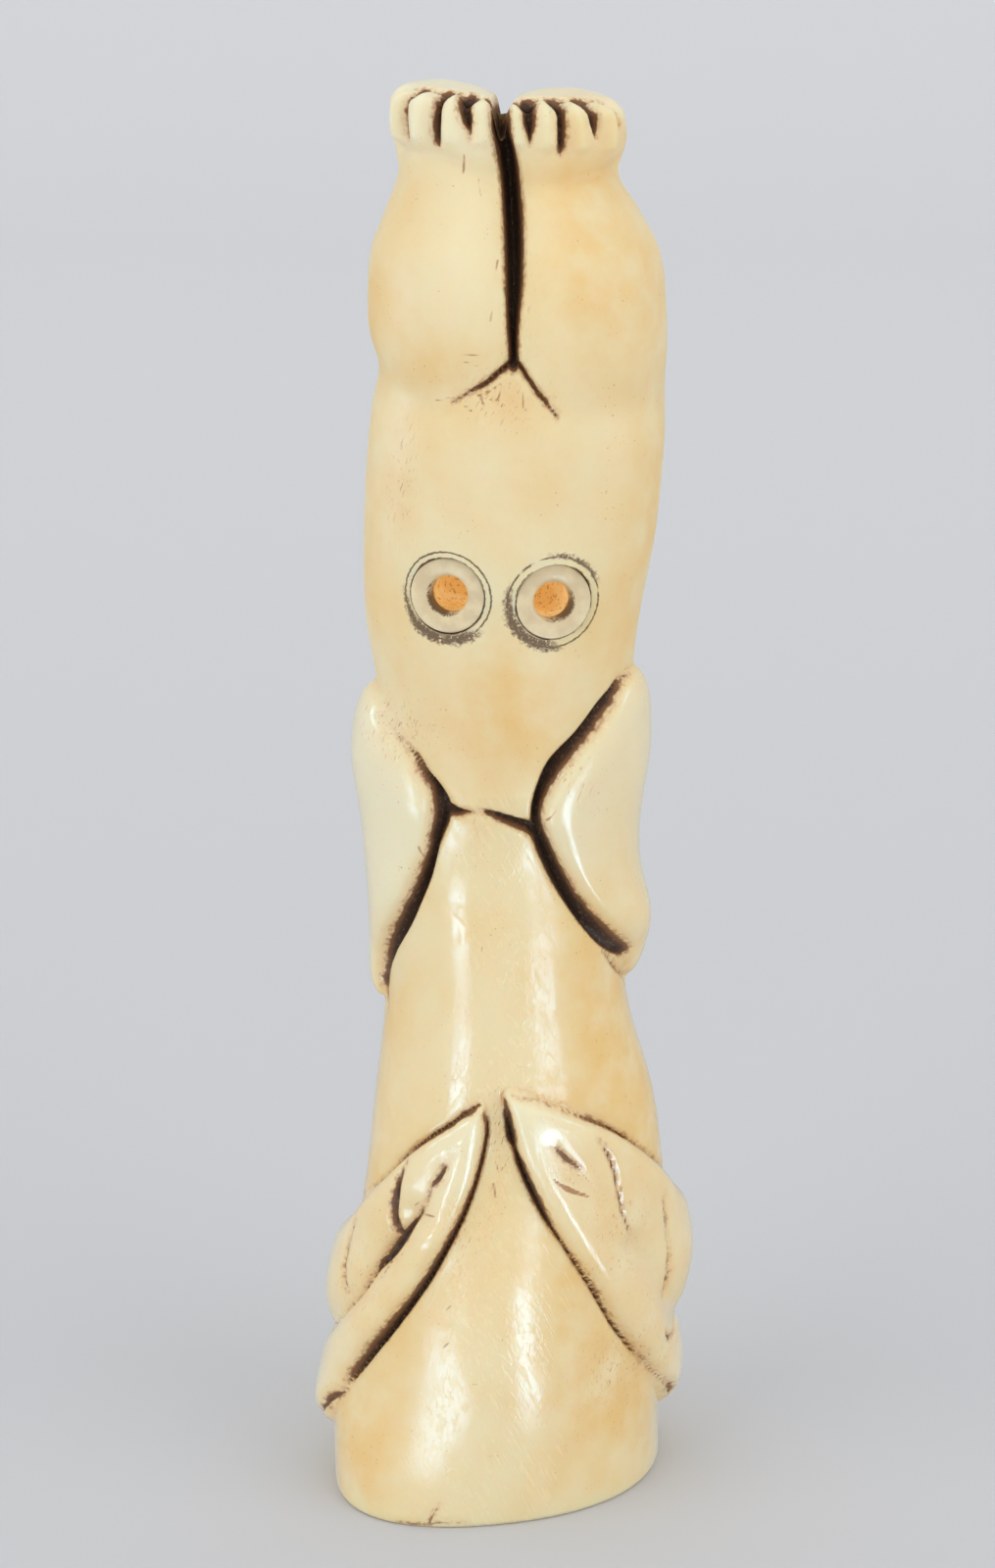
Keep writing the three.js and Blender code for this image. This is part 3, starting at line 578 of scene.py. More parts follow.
# %% Cuts of the leaves and the foot
CUTS |= {
    "left leaf, upper edge": [
        (-15.5, 24.1, 0.26, 0.15), (-21.2, 23.6, 0.42, 0.3), (-29.5, 22.8, 0.36, 0.35),
        (-44, 21.4, 0.3, 0.35), (-61.8, 19, 0.26, 0.3), (-92, 16.2, 0.2, 0.25),
    ],
    "left leaf, lower edge": [
        (-13.2, 23.8, 0.16, 0.2), (-12.4, 23, 0.26, 0.3), (-13.6, 21.8, 0.26, 0.35), (-18.5, 19.3, 0.3, 0.4),
        (-25.2, 16.8, 0.45, 0.5), (-34.2, 14.1, 0.54, 0.55), (-45.8, 11.3, 0.6, 0.6), (-56.2, 9, 0.6, 0.55),
        (-62.5, 7.7, 0.5, 0.5), (-66, 7, 0.28, 0.35),
    ],
    "left leaf, tip": [
        (-68, 6.4, 0.14, 0.3), (-73, 5.6, 0.42, 0.35), (-80, 4.6, 0.36, 0.35), (-90, 3.4, 0.1, 0.25),
    ],
    "left leaf, vein": [
        (-46.2, 20.5, 0.1, 0.15), (-48.2, 19.3, 0.4, 0.35), (-49, 18.3, 0.54, 0.4), (-49, 17.4, 0.44, 0.4),
        (-47.5, 16.6, 0.5, 0.4),
    ],
    "left leaf, fold": [
        (-39.5, 17.6, 0.2, 0.3), (-43.5, 16.7, 0.66, 0.5), (-47.8, 15.8, 0.84, 0.6), (-52, 14.9, 0.7, 0.55),
        (-56.8, 13.9, 0.3, 0.45), (-61.2, 12.7, 0.12, 0.4), (-68, 11.2, 0.1, 0.35), (-84, 9, 0.08, 0.3),
        (-110, 8.4, 0.05, 0.25),
    ],
    "left leaf, hollow": [(-28.8, 20.7, 0.26, 0.2), (-30.8, 20.1, 0.44, 0.25), (-33.5, 19.6, 0.25, 0.2)],
    "left leaf, crease": [(-33.5, 19.6, 0.1, 0.15), (-36, 18.6, 0.1, 0.15), (-39.5, 17.6, 0.2, 0.25)],
    "left leaf, side vein": [
        (-71.5, 16, 0.12, 0.2), (-73, 14.9, 0.22, 0.3), (-72.5, 13.6, 0.24, 0.3), (-70, 12, 0.14, 0.25),
    ],
    "right leaf, lower edge": [
        (-3.5, 24.8, 0.12, 0.25), (-2.2, 23.7, 0.54, 0.5), (-1, 22.3, 0.64, 0.55), (-0.2, 21.8, 0.2, 0.5),
        (1.8, 21.1, 0.52, 0.5), (5, 20, 0.58, 0.5), (8.8, 18.9, 0.54, 0.5), (12.5, 17.8, 0.4, 0.4),
        (16, 17, 0.26, 0.35), (32, 13.4, 0.25, 0.35), (44, 10.5, 0.24, 0.35), (63.5, 6.9, 0.2, 0.35),
        (78, 4.6, 0.12, 0.35),
    ],
    "right leaf, tip": [(72, 5.6, 0.1, 0.3), (76, 4.9, 0.4, 0.35), (84, 3.9, 0.3, 0.3)],
    "right leaf, upper edge": [
        (0.5, 24.8, 0.02, 0.1), (15.5, 24.2, 0.06, 0.15), (26.2, 23.5, 0.14, 0.2), (33.5, 23, 0.3, 0.25),
        (50.5, 21.5, 0.26, 0.25), (74, 19, 0.16, 0.25), (92, 17.4, 0.08, 0.2),
    ],
    "right leaf, upper mark": [(16, 21.9, 0.16, 0.06), (20, 21.2, 0.34, 0.1), (25.5, 20.5, 0.12, 0.06)],
    "right leaf, vein": [
        (33.8, 22, 0.14, 0.15), (37.5, 20.9, 0.24, 0.25), (39.8, 19.6, 0.2, 0.25), (40.8, 18.5, 0.16, 0.2),
        (42.8, 17.2, 0.18, 0.2), (45.5, 16.3, 0.2, 0.2),
    ],
    "right leaf, side vein": [
        (64, 17.3, 0.12, 0.2), (64.5, 15.3, 0.18, 0.3), (65.2, 13.2, 0.2, 0.3), (66.5, 11.4, 0.1, 0.25),
    ],
    "right leaf, fold": [
        (66, 9.2, 0.15, 0.2), (68, 8.7, 0.4, 0.3), (72, 8.5, 0.2, 0.3), (84, 8.6, 0.05, 0.3),
    ],
    "chip in the foot": [(-20.8, 1.4, 0.08, 0.06), (-23, 0.8, 0.14, 0.1), (-24.6, 0.3, 0.16, 0.12)],
    "crack along the foot": [
        (-36, 0.12, 0.05, 0.04), (-25, 0.22, 0.12, 0.08), (-18, 0.42, 0.12, 0.08), (-12, 0.3, 0.06, 0.05),
    ],
}

print("cuts with the leaves and the foot:", len(CUTS))

# %% Cuts between the toes and the fingers
# angle of each gap at the rim and at its lower end, how low it ends, and its width at the rim and low
TOE_GAPS = [
    (-59.4, -59, 77.3, 0.34, 0.28),
    (-39.6, -40, 77.1, 0.56, 0.5),
    (-25.4, -22.4, 77.6, 0.7, 0.14),
    (12.6, 12.4, 77.3, 0.74, 0.16),
    (31, 29.4, 77.1, 0.54, 0.48),
    (48.6, 48.6, 78.0, 0.66, 0.3),
    (68, 68.6, 78.9, 0.3, 0.2),
]
FINGER_HEIGHTS = (38.2, 39.5, 40.8)

for number, (rim, end, low, wide, narrow) in enumerate(TOE_GAPS, 1):
    CUTS[f"toe gap {number}"] = [
        (rim, HEIGHT, 0.3 * wide, 0.2, PAD_EDGE - 0.06), (rim, HEIGHT, 1.5 * wide, 0.5, PAD_EDGE + 0.03),
        (rim, 79.7, 1.5 * wide, 0.7, 0.95), (rim, 79.1, wide, 0.7), ((rim + end) / 2, 78.5, wide, 0.62),
        (end, low + 0.3, narrow, 0.45), (end, low, narrow / 2, 0.15),
    ]
for side, gaps in ((-1, (-14, -25, -40, -60, -72)), (1, (5, 13, 31, 49, 70))):
    CUTS[f"crease behind the toes {side}"] = [
        row
        for start, end in zip(gaps, gaps[1:])
        for row in ((start, HEIGHT, 0.56, 0.4, PAD_EDGE), ((start + end) / 2, HEIGHT, 0.2, 0.34, PAD_EDGE))
    ]
    for level in FINGER_HEIGHTS:
        CUTS[f"finger {side} {level}"] = [(side * turn, level, 0.1, 0.4) for turn in (146, 157, 168)]
print("cuts in all:", len(CLEFT) + len(CUTS))

# %% Distance to the cuts
PATH_STEP = 0.35  # millimetres between the points of a path
REACH = 1.6  # how far from its path a cut is looked for
SPREAD = 1.35  # a cut's width, as a multiple of its stain's
THINNEST = 0.6  # a cut's least width
WALL_SHARE = 1.1  # how much the way in from an outline counts as distance from the cut beside it


def path_of(route):
    """Points along the smooth path through a route's rows on the block, each with its width and depth."""
    table = np.array([(*row, 1.0)[:5] for row in route], float)
    rows_of = np.column_stack([block_point(table[:, 0], table[:, 1], table[:, 4]), table[:, 2:4]])
    knots = np.concatenate([[0], np.cumsum(np.linalg.norm(np.diff(rows_of[:, :3], axis=0), axis=1))])
    return cubic(knots, rows_of, np.linspace(0, knots[-1], max(4, round(knots[-1] / PATH_STEP))))


def nearest(points, path):
    """Distance from each point to the path, and the path's other columns where it is nearest. On a straight
    piece from a to b the nearest place is a + t (b - a), with t the point's shadow on it, kept in 0 to 1."""
    a, b = path[:-1], path[1:]
    side = (b - a)[:, :3]
    to = points[:, None] - a[:, :3]
    t = np.clip((to * side).sum(-1) / np.maximum((side**2).sum(-1), 1e-9), 0, 1)
    away = np.linalg.norm(to - t[..., None] * side, axis=-1)
    best = away.argmin(1)
    order = np.arange(len(points))
    share_of = t[order, best][:, None]
    return away[order, best], (a[best] + share_of * (b - a)[best])[:, 3:]


def near_points(path, reach):
    """Which grid points lie within reach of the path's box."""
    low, high = path[:, :3].min(0) - reach, path[:, :3].max(0) + reach
    return np.flatnonzero(((base > low) & (base < high)).all(1))


def carve(routes):
    """For every grid point, the depth of the deepest cut there and the way in from the edge of its stain.
    A cut's section is a cosine: depth x (1 + cos(pi x distance / half width)) / 2. The stain's distance also
    counts how far inside a raised outline the point is, so that the stain stays low on the raised wall."""
    depth, edge = np.zeros(len(base)), np.full(len(base), -REACH)
    for route in routes:
        path = path_of(route)
        near = near_points(path, REACH)
        gaps = np.linalg.norm(base[near] - path[:, None, :3], axis=-1)
        path = np.column_stack([path, within[near][gaps.argmin(1)]])
        away, sizes = nearest(base[near], path)
        half = np.maximum(SPREAD * sizes[:, 0], THINNEST) / 2
        here = sizes[:, 1] * (1 + np.cos(np.pi * np.minimum(1, away / half))) / 2
        depth[near] = np.maximum(depth[near], here)
        apart = np.hypot(away, WALL_SHARE * np.maximum(0, within[near] - sizes[:, 2]))
        edge[near] = np.maximum(edge[near], sizes[:, 0] / 2 - apart)
    return depth, edge


def sink(routes):
    """The sum over the hollows of depth x exp(-2 (distance / half width)^2)."""
    total = np.zeros(len(base))
    for route, width, depth in routes:
        path = path_of([(*row, 0, 0)[: max(4, len(row))] for row in route])
        near = near_points(path, 1.5 * width)
        away, _ = nearest(base[near], path)
        total[near] += depth * np.exp(-2 * (away / (width / 2)) ** 2)
    return total


cleft_depth, cleft_edge = carve(CLEFT.values())
cut_depth, cut_edge = carve(CUTS.values())
hollow = sink(HOLLOWS.values())
print("deepest cut:", round(float(cleft_depth.max()), 2), "mm")

# %% [markdown]
# ## Fine marks
#
# Handling and stain have left short brown hairlines beside the cuts. They have no depth worth modelling, so
# they only go into a second stain value. The polished ivory is also not one colour: raised parts are rubbed
# pale, it is warmer beside the cuts, and age has turned broad patches of it yellow. One yellow place, below
# the left calf, is painted shade. The middle of the back is scuffed. Each of these is a value from 0 to 1
# that is stored with the points, for the material to read.

# %% Hairlines: rows of (angle, height, width)
HAIRLINES = [
    [(-23.5, 67, 0.1), (-15, 66.8, 0.1)],
    [(-24, 66.6, 0.08), (-17, 66.3, 0.1)],
    [(-17.8, 64.6, 0.14), (-11, 65, 0.1), (-7.8, 65.3, 0.08)],
    [(-14.2, 64.6, 0.08), (-10, 64.3, 0.1), (-8, 65, 0.06)],
    [(-16.4, 64.5, 0.14), (-15, 64.1, 0.14)],
    [(-23, 64, 0.14), (-20, 63.8, 0.1)],
    [(1, 64.8, 0.08), (1.4, 64, 0.08)],
    [(-36.5, 64.2, 0.1), (-30, 64.4, 0.1)],
    [(-26, 76.8, 0.06), (-27.4, 76.2, 0.12), (-27.8, 75.9, 0.1)],
    [(-18.8, 75.7, 0.05), (-16.8, 74.9, 0.06)],
    [(-8, 72, 0.1), (-9, 71.2, 0.1)],
    [(-10.5, 69.4, 0.1), (-11, 68.7, 0.1)],
    [(-50, 60.6, 0.05), (-48, 59.6, 0.07), (-47.4, 58.6, 0.05)],
    [(34, 57.8, 0.05), (34.8, 56.8, 0.05)],
    [(-41, 38.9, 0.1), (-41.6, 37.8, 0.08)],
    [(-37, 38.3, 0.06), (-44, 37.4, 0.08)],
    [(23, 40.6, 0.1), (27, 41.4, 0.06)],
    [(-36.5, 17.8, 0.14), (-31.2, 17.9, 0.12)],
    [(-36, 18.8, 0.08), (-41, 18.2, 0.08)],
    [(-35, 18.4, 0.08), (-40, 17.9, 0.08)],
    [(-50, 14.4, 0.1), (-46.5, 15.2, 0.12)],
    [(-53, 13.6, 0.1), (-50, 14.4, 0.12)],
    [(23.2, 20.8, 0.12), (31, 19.3, 0.05)],
    [(14.5, 20.1, 0.16), (20, 19.5, 0.36), (28, 18.9, 0.14)],
    [(11, 22.6, 0.05), (14, 22, 0.05)],
    [(-9.5, 19.8, 0.14), (-8.4, 19, 0.12)],
    [(-8.6, 21, 0.1), (-7.2, 20.4, 0.1)],
    [(-24.5, 12.6, 0.06), (-22.5, 12.9, 0.06)],
    [(-24, 10.4, 0.06), (-21.5, 10.8, 0.06)],
]
print("hairlines:", len(HAIRLINES))

# %% Warm, yellow and pale places
# middle, reach round in degrees and up in millimetres, and strength
WARM = {
    "above the left arm": ((-55, 45.6), (18, 1.6), 0.8),
    "between the haunches": ((-6, 64.6), (14, 1.2), 0.9),
    "beside the cleft": ((5, 72), (5, 5), 0.3),
    "beside the right arm": ((33, 43), (8, 1.4), 0.7),
    "between the leaves": ((-7, 22), (4, 3), 1.0),
    "below the left leaf": ((-20, 17), (8, 2), 0.7),
    "below the right leaf": ((48, 8.2), (18, 2), 0.8),
    "stem's top": ((-15, 40.4), (9, 0.8), 0.7),
    "left leaf, outside": ((-62, 13), (14, 2.5), 0.4),
    "right leaf, middle": ((40, 17), (14, 2), 0.5),
    "right leaf, patch": ((40, 14.5), (12, 0.5), 0.7),
    "right leaf, marks": ((20, 20.4), (8, 1), 0.6),
    "left flank": ((-50, 60), (8, 3), 0.7),
}
YELLOW = {
    "right foot": ((56, 77.6), (34, 1.6), 1.5),
    "right calf": ((44, 71), (36, 6), 1.1),
    "left calf, edge": ((-75, 69), (26, 6), 0.8),
    "back": ((10, 58), (30, 6), 0.5),
    "right flank": ((75, 58), (30, 9), 1.1),
    "left flank": ((-80, 58), (22, 8), 0.6),
    "lower back": ((2, 47), (22, 3.2), 1.3),
    "stem, right": ((60, 28), (28, 7), 1.2),
    "stem, left": ((-75, 28), (20, 7), 0.6),
    "foot, right": ((45, 8), (28, 5), 0.9),
    "foot, left": ((-60, 3), (24, 4), 0.7),
    "right leaf": ((48, 15), (44, 8), 1.5),
    "left leaf": ((-52, 14), (34, 9), 1.0),
    "right arm": ((60, 38), (30, 9), 0.8),
    # painted shade: this yellow place darkens the ivory where shadow falls below the left calf
    "shade below the left calf": ((-30, 66), (22, 3), 0.9),
}
WORN_PALE = {
    "left calf": ((-26, 70), (16, 4), 0.4),
    "back": ((-2, 58), (34, 6), 0.45),
    "dome of the foot": ((-3, 9), (30, 6), 0.45),
}
print("places:", len(WARM), "warm,", len(YELLOW), "yellow,", len(WORN_PALE), "pale")

# %% The marks of every point
GLOSSY_BELOW = (40, 44)  # the stem, the leaves and the foot are better polished than the body above
RAISED_GLOSS = 0.85
PALE_FEET, PALE_FEET_FROM = 0.9, (76, 77.5)
SCUFFED_WITHIN = 42  # degrees round from the middle of the back

_, hair_edge = carve([[(a, z, width, 0) for a, z, width in route] for route in HAIRLINES])
pale = np.clip(raised, 0, 1)
pale = np.maximum(pale, PALE_FEET * smooth(height, *PALE_FEET_FROM))
pale = np.maximum(pale, bells(WORN_PALE.values()))
warm = np.clip(bells(WARM.values()), 0, 1)
yellow = np.clip(bells(YELLOW.values()), 0, 1)
gloss = np.maximum(1 - smooth(height, *GLOSSY_BELOW), RAISED_GLOSS * np.clip(raised, 0, 1))
MARKS = {
    "stain": np.maximum(cut_edge, cleft_edge) + REACH,
    "hairline": hair_edge + REACH,
    "pale": pale,
    "warm": warm,
    "yellow": yellow,
    "gloss": gloss,
    "scuffed": np.exp(-((angle / SCUFFED_WITHIN) ** 2)),
}
print("marks:", {name: [round(float(v), 2) for v in (m.min(), m.max())] for name, m in MARKS.items()})

# %% [markdown]
# ## The mesh of the carving
#
# The carved surface is the block's point plus the way out times what was added less what was cut away. The
# points go into the mesh in one call, and so do the faces: a quad between neighbours in the grid, and a fan
# of triangles at each end. The marks go with the points as attributes.


# %% Put a grid into a mesh
def skin_faces(row_count, column_count):
    """Quads over a grid that closes round, and a fan to a first and to a last point at its two ends. Faces
    point outwards when the rows go up and the columns go round to the right."""
    index = 1 + np.arange(row_count * column_count).reshape(row_count, column_count)
    right = np.roll(index, -1, axis=1)
    quads = np.stack([index[:-1], right[:-1], right[1:], index[1:]], -1).reshape(-1, 4)
    start = np.zeros(column_count, int)
    last = np.full(column_count, row_count * column_count + 1)
    first_fan = np.stack([start, right[0], index[0]], -1)
    last_fan = np.stack([last, index[-1], right[-1]], -1)
    fans = np.concatenate([first_fan, last_fan])
    return quads, fans


def mesh_of(name, points, quads, fans=None):
    """A smooth-shaded mesh of points in millimetres, quads and triangles, put in with foreach_set."""
    fans = np.empty((0, 3), int) if fans is None else fans
    mesh = bpy.data.meshes.new(name)
    corners = np.concatenate([quads.ravel(), fans.ravel()])
    sizes = np.concatenate([np.full(len(quads), 4), np.full(len(fans), 3)])
    mesh.vertices.add(len(points))
    mesh.vertices.foreach_set("co", (points * MM).astype(np.float32).ravel())
    mesh.loops.add(len(corners))
    mesh.loops.foreach_set("vertex_index", corners.astype(np.int32))
    mesh.polygons.add(len(sizes))
    mesh.polygons.foreach_set("loop_start", (np.cumsum(sizes) - sizes).astype(np.int32))
    mesh.update(calc_edges=True)
    mesh.validate()
    return mesh


def add_mark(mesh, name, values):
    """Stores one number for each point."""
    layer = mesh.attributes.new(name, "FLOAT", "POINT")
    layer.data.foreach_set("value", values.astype(np.float32))


def closed_skin(name, points, row_count, marks=None):
    """A closed mesh over a grid with its two end points, and one attribute for each mark."""
    mesh = mesh_of(name, points, *skin_faces(row_count, (len(points) - 2) // row_count))
    for key, values in (marks or {}).items():
        add_mark(mesh, key, values)
    return mesh


# %% The carved surface
change = raised + swollen - hollow - np.maximum(cut_depth, cleft_depth)
flat_underside = (share < 1 - 1.2 * FOOT_EDGE / BLOCK[0, 1]) & (height < 1)
change[flat_underside] = 0
surface = base + outwards(angle, height, share) * change[:, None]
ends = [surface[:COLUMNS].mean(0), surface[-COLUMNS:].mean(0)]
points = np.concatenate([ends[:1], surface, ends[1:]])
marks = {key: np.concatenate([values[:1], values, values[-1:]]) for key, values in MARKS.items()}
carving = link("netsuke_carving", closed_skin("netsuke_carving", points, len(rows), marks))
print("carving:", len(points), "points, box in mm", points.min(0).round(2), points.max(0).round(2))

# %% [markdown]
# ## The cord holes
#
# The two holes (himotoshi) meet inside the block, so that a cord goes in at one and out at the other. Each
# has a round seat for its ring. They are cut with Boolean modifiers, which are applied at once: the places of
# the seats come from the rings in the frame, and the tunnel is a tube along a smooth bend.

# %% Seats and tunnel
HOLES = {"cord_hole_ring_left": -16, "cord_hole_ring_right": 14}
RING_RADIUS, RING_THICK = 2.1, 0.9
SEAT_GAP, SEAT_SIDES = 0.05, 96
TUNNEL_RADIUS, TUNNEL_DEPTH = 1.12, 4.4
TUNNEL_ROWS, TUNNEL_SIDES = 60, 40


def hole_axes(node, turn):
    """The middle of a ring, its way out, and the way to its right, from the ring's box in the frame."""
    low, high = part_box(node)
    middle = np.array((low + high) / 2) / MM
    out = np.array([math.sin(math.radians(turn)), -math.cos(math.radians(turn)), 0])
    return middle, out, np.array([-out[1], out[0], 0])


def tube(path, radii, sides):
    """Rings of points round a level path: centre + radius (cos x side + sin x up), and its two end points."""
    along = unit(np.gradient(path, axis=0))
    side = unit(np.cross(along, [0, 0, 1]))[:, None]
    turn = (np.arange(sides) / sides * 2 * np.pi)[:, None]
    rings = path[:, None] + radii[:, None, None] * (np.cos(turn) * side + np.sin(turn) * np.array([0, 0, 1]))
    return np.concatenate([path[:1], rings.reshape(-1, 3), path[-1:]])


def cut_with(piece, cutters):
    """Takes closed meshes off a piece with Boolean modifiers and keeps the result as its mesh."""
    for cutter in cutters:
        modifier = piece.modifiers.new(cutter.name, "BOOLEAN")
        modifier.operation = "DIFFERENCE"
        modifier.solver = "EXACT"
        modifier.object = cutter
    result = bpy.data.meshes.new_from_object(piece.evaluated_get(bpy.context.evaluated_depsgraph_get()))
    piece.modifiers.clear()
    piece.data = result
    for cutter in cutters:
        bpy.data.objects.remove(cutter)


def cutter_along(name, path, radius, sides):
    """A closed tube along a path. Its rows run the other way round, so its faces are turned outwards."""
    rows_of = len(path)
    skin = closed_skin(name, tube(path, np.full(rows_of, radius), sides), rows_of)
    skin.flip_normals()
    return link(name, skin)


holes = {node: hole_axes(node, turn) for node, turn in HOLES.items()}
cutters = []
for node, (middle, out, side) in holes.items():
    path = middle + np.outer([-RING_THICK / 2 - 0.02, 0, 3], out)
    cutters.append(cutter_along(f"seat {node}", path, RING_RADIUS + SEAT_GAP, SEAT_SIDES))
legs = [[middle - out * depth for depth in (-2, 1, 3)] for middle, out, _ in holes.values()]
bend = np.mean([middle - out * TUNNEL_DEPTH for middle, out, _ in holes.values()], axis=0)
bends = np.array([*legs[0], bend, *legs[1][::-1]])
tunnel_path = cubic(np.arange(len(bends)), bends, np.linspace(0, len(bends) - 1, TUNNEL_ROWS))
cutters.append(cutter_along("tunnel", tunnel_path, TUNNEL_RADIUS, TUNNEL_SIDES))
bpy.context.view_layer.update()
cut_with(carving, cutters)
print("carving after the holes:", len(carving.data.vertices), "points,", len(carving.data.polygons), "faces")
print("attributes kept:", [a.name for a in carving.data.attributes])

# %% Mark the inside of the tunnel
WALL_SLACK = 0.05
found = np.empty(3 * len(carving.data.vertices), np.float32)
carving.data.vertices.foreach_get("co", found)
found = found.reshape(-1, 3) / MM
near = np.flatnonzero((np.abs(found[:, 2] - bend[2]) < 3) & (np.abs(found[:, 0]) < 6))
away, _ = nearest(found[near], tunnel_path)
deep = np.zeros(len(found))
deep[near] = away < TUNNEL_RADIUS + WALL_SLACK
add_mark(carving.data, "inside", deep)
carving.data.shade_smooth()
carving.data.set_sharp_from_angle(angle=math.radians(50))
triangles = sum(len(p.vertices) - 2 for p in carving.data.polygons)
print("inside points:", int(deep.sum()), "triangles:", triangles)

# %% [markdown]
# ## Ivory
#
# Old polished ivory is cream to yellow, lets light a little way in, and shines. Under the gloss it is never
# one colour. The Principled shader gives the gloss and the glow below the surface. Its colour starts from two
# creams mixed by a large soft noise, yellower and paler where the marks say so. Then the stains are laid
# over it, from the faintest to the darkest: a warm glow and a rim of rust beside the cuts, hairlines, the
# near-black stain in the cuts, and the dirt round the rings. The edge of the stain is the distance that was
# stored with the points, made ragged with noise, so that it stays sharp however coarse the mesh is.

# %% Colours of the ivory and its stains
CREAM, HONEY = colour(251, 230, 185), colour(244, 201, 121)
PALE, BLUSH = colour(252, 243, 213), colour(238, 202, 146)
RUST, STAIN, DUST = colour(170, 112, 64), colour(78, 54, 36), colour(138, 116, 92)
BROWN, GRIME = colour(138, 94, 58), colour(98, 66, 40)
# painted glow: the two tunnel colours on this line stand for light that comes through the ivory
GLOW_AMBER, GLOW_PINK = colour(228, 190, 118), colour(236, 210, 154)


def clean_ivory(shader, cloud, mottle, marks):
    """Clouds of honey in cream, more of it in the yellow places, and paler where the carving is rubbed."""
    tone = shader.mix((cloud * 0.75 + mottle * 0.25).step(0.42, 0.78) * 0.6, CREAM, HONEY)
    tone = shader.mix(marks["yellow"] * mottle.step(0.1, 0.7) * 0.7, tone, HONEY)
    paler = marks["pale"] * (mottle * 0.5 + 0.45) * (1 - marks["yellow"] * 0.6)
    return shader.mix(paler, tone, PALE)


print("cream in the shader:", [round(part, 3) for part in CREAM[:3]])


# %% Stains of the ivory
def warm_beside_cuts(shader, tone, edge, ragged, mottle, fine, warm):
    """Pinker in the warm places and up to 0.7 mm beside a stain, with a broken rim of rust along it."""
    beside = (edge + (mottle - 0.5) * 1.1).step(-0.7, 0.1) * 0.3
    tone = shader.mix((warm * mottle.step(0.3, 0.7) * 0.7).larger(beside), tone, BLUSH)
    rust = (edge + ragged * 2.2).step(-0.2, 0.03) * fine.step(0.36, 0.64) * mottle.step(0.25, 0.55)
    return shader.mix(rust * 0.7, tone, RUST)


def hairlines_and_specks(shader, tone, place, ragged, mottle, marks):
    """In rust: the hairlines, scattered specks, and short strokes rubbed into the warm places."""
    strokes = shader.noise(place, 0.5, detail=2, stretch=(0.22, 0.22, 1.5), turn=(0.2, 0.3, 0.5))
    rubbed = strokes.step(0.62, 0.68) * marks["warm"]
    specks = shader.noise(place, 0.16, detail=1).step(0.7, 0.76) * mottle.step(0.5, 0.62)
    hair = (marks["hairline"] - REACH + ragged * 0.35 + 0.06).step(0.02, 0.1)
    return shader.mix(hair.larger(specks * 0.6).larger(rubbed) * 0.8, tone, RUST)


def stain_in_cuts(shader, tone, place, edge, ragged, dark):
    """Brown at the edge of the stain, then nearly black with a little dust in it."""
    dusty = shader.mix(shader.noise(place, 0.2, detail=3).step(0.52, 0.78), STAIN, DUST)
    stain = shader.mix((edge + ragged * 0.5).step(0.06, 0.24), BROWN, dusty)
    return shader.mix(dark, tone, stain)


def tunnel_glow(shader, place):
    """A painted amber glow for the light that comes through the ivory to the tunnel wall, with crumbs of
    dirt.
    """
    amber = shader.mix(shader.noise(place, 2.0, detail=1).step(0.4, 0.6), GLOW_AMBER, GLOW_PINK)
    crumbs = shader.noise(place, 0.3, detail=4, roughness=0.7).step(0.56, 0.62)
    return shader.mix(crumbs * 0.8, amber, RUST)


# %% Dirt round the rings
# lines: radius, half width, how complete; smears: direction in degrees, inner and outer radius, least reach
RING_DIRT = {
    "cord_hole_ring_left": (
        [(2.14, 0.06, 0.7), (2.46, 0.07, 0.9)],
        [(-98, 2.1, 2.75, 1.45), (-150, 2.2, 2.6, 1.9)],
    ),
    "cord_hole_ring_right": (
        [(2.16, 0.05, 0.4), (2.56, 0.07, 0.6)],
        [(-128, 2.1, 2.75, 1.55), (-165, 2.2, 2.7, 1.9), (60, 2.4, 2.7, 1.9)],
    ),
}
print("dirt round the rings:", {node: [len(rows) for rows in both] for node, both in RING_DIRT.items()})


def larger_of(fields):
    """The largest of several fields, as a chain of Maximum nodes."""
    return functools.reduce(Field.larger, fields)


def ring_dirt(shader, place, node):
    """How dirty the ivory is round one ring. The radius is the distance from the ring's axis; each line is a
    thin circle at a radius, each smear a crescent on one side."""
    middle, out, side = holes[node]
    lines, smears = RING_DIRT[node]
    offset = shader.vector("SUBTRACT", place, tuple(middle))
    across = shader.vector("DOT_PRODUCT", offset, tuple(side), "Value")
    through = shader.vector("DOT_PRODUCT", offset, tuple(out), "Value")
    upward = shader.node("ShaderNodeSeparateXYZ", inputs={0: offset}, output="Z")
    radius = (across * across + upward * upward).power(0.5)
    ragged = shader.noise(place, 0.25, detail=4, roughness=0.7) - 0.5
    patchy = shader.noise(place, 1.1, detail=2)
    crumbs = shader.noise(place, 0.16, detail=3).step(0.28, 0.48)

    def line(at, width, strength):
        """1 on the circle, 0 beyond the width from it, with fewer gaps the stronger it is."""
        away = abs(radius + ragged * 0.2 - at)
        gaps = patchy.step(0.56 - 0.35 * strength, 0.7 - 0.35 * strength)
        return (1 - away.step(width * 0.4, width)) * gaps

    def smear(direction, low, high, reach):
        """1 between two radii and beyond a reach on one side of the ring, broken into crumbs."""
        way = math.radians(direction)
        towards = across * math.cos(way) + upward * math.sin(way)
        inner = (radius + ragged * 0.3).step(low, low + 0.15)
        outer = 1 - (radius + ragged * 0.9).step(high - 0.1, high + 0.15)
        return inner * outer * (towards + ragged * 1.2).step(reach, reach + 0.5) * crumbs

    dirty = [line(*row) for row in lines] + [smear(*row) for row in smears]
    return larger_of(dirty) * through.step(-0.5, 0)


# %% Polish and scratches
WORN_ROUGHNESS, POLISH, SCUFF, DIRT_ROUGHNESS = 0.44, 0.3, 0.2, 0.6
RELIEF = 0.02  # millimetres that the bumps below are shares of
SCRATCH_DEPTH, WAVE_DEPTH, STAIN_DEPTH = 0.42, 1.8, 1.5


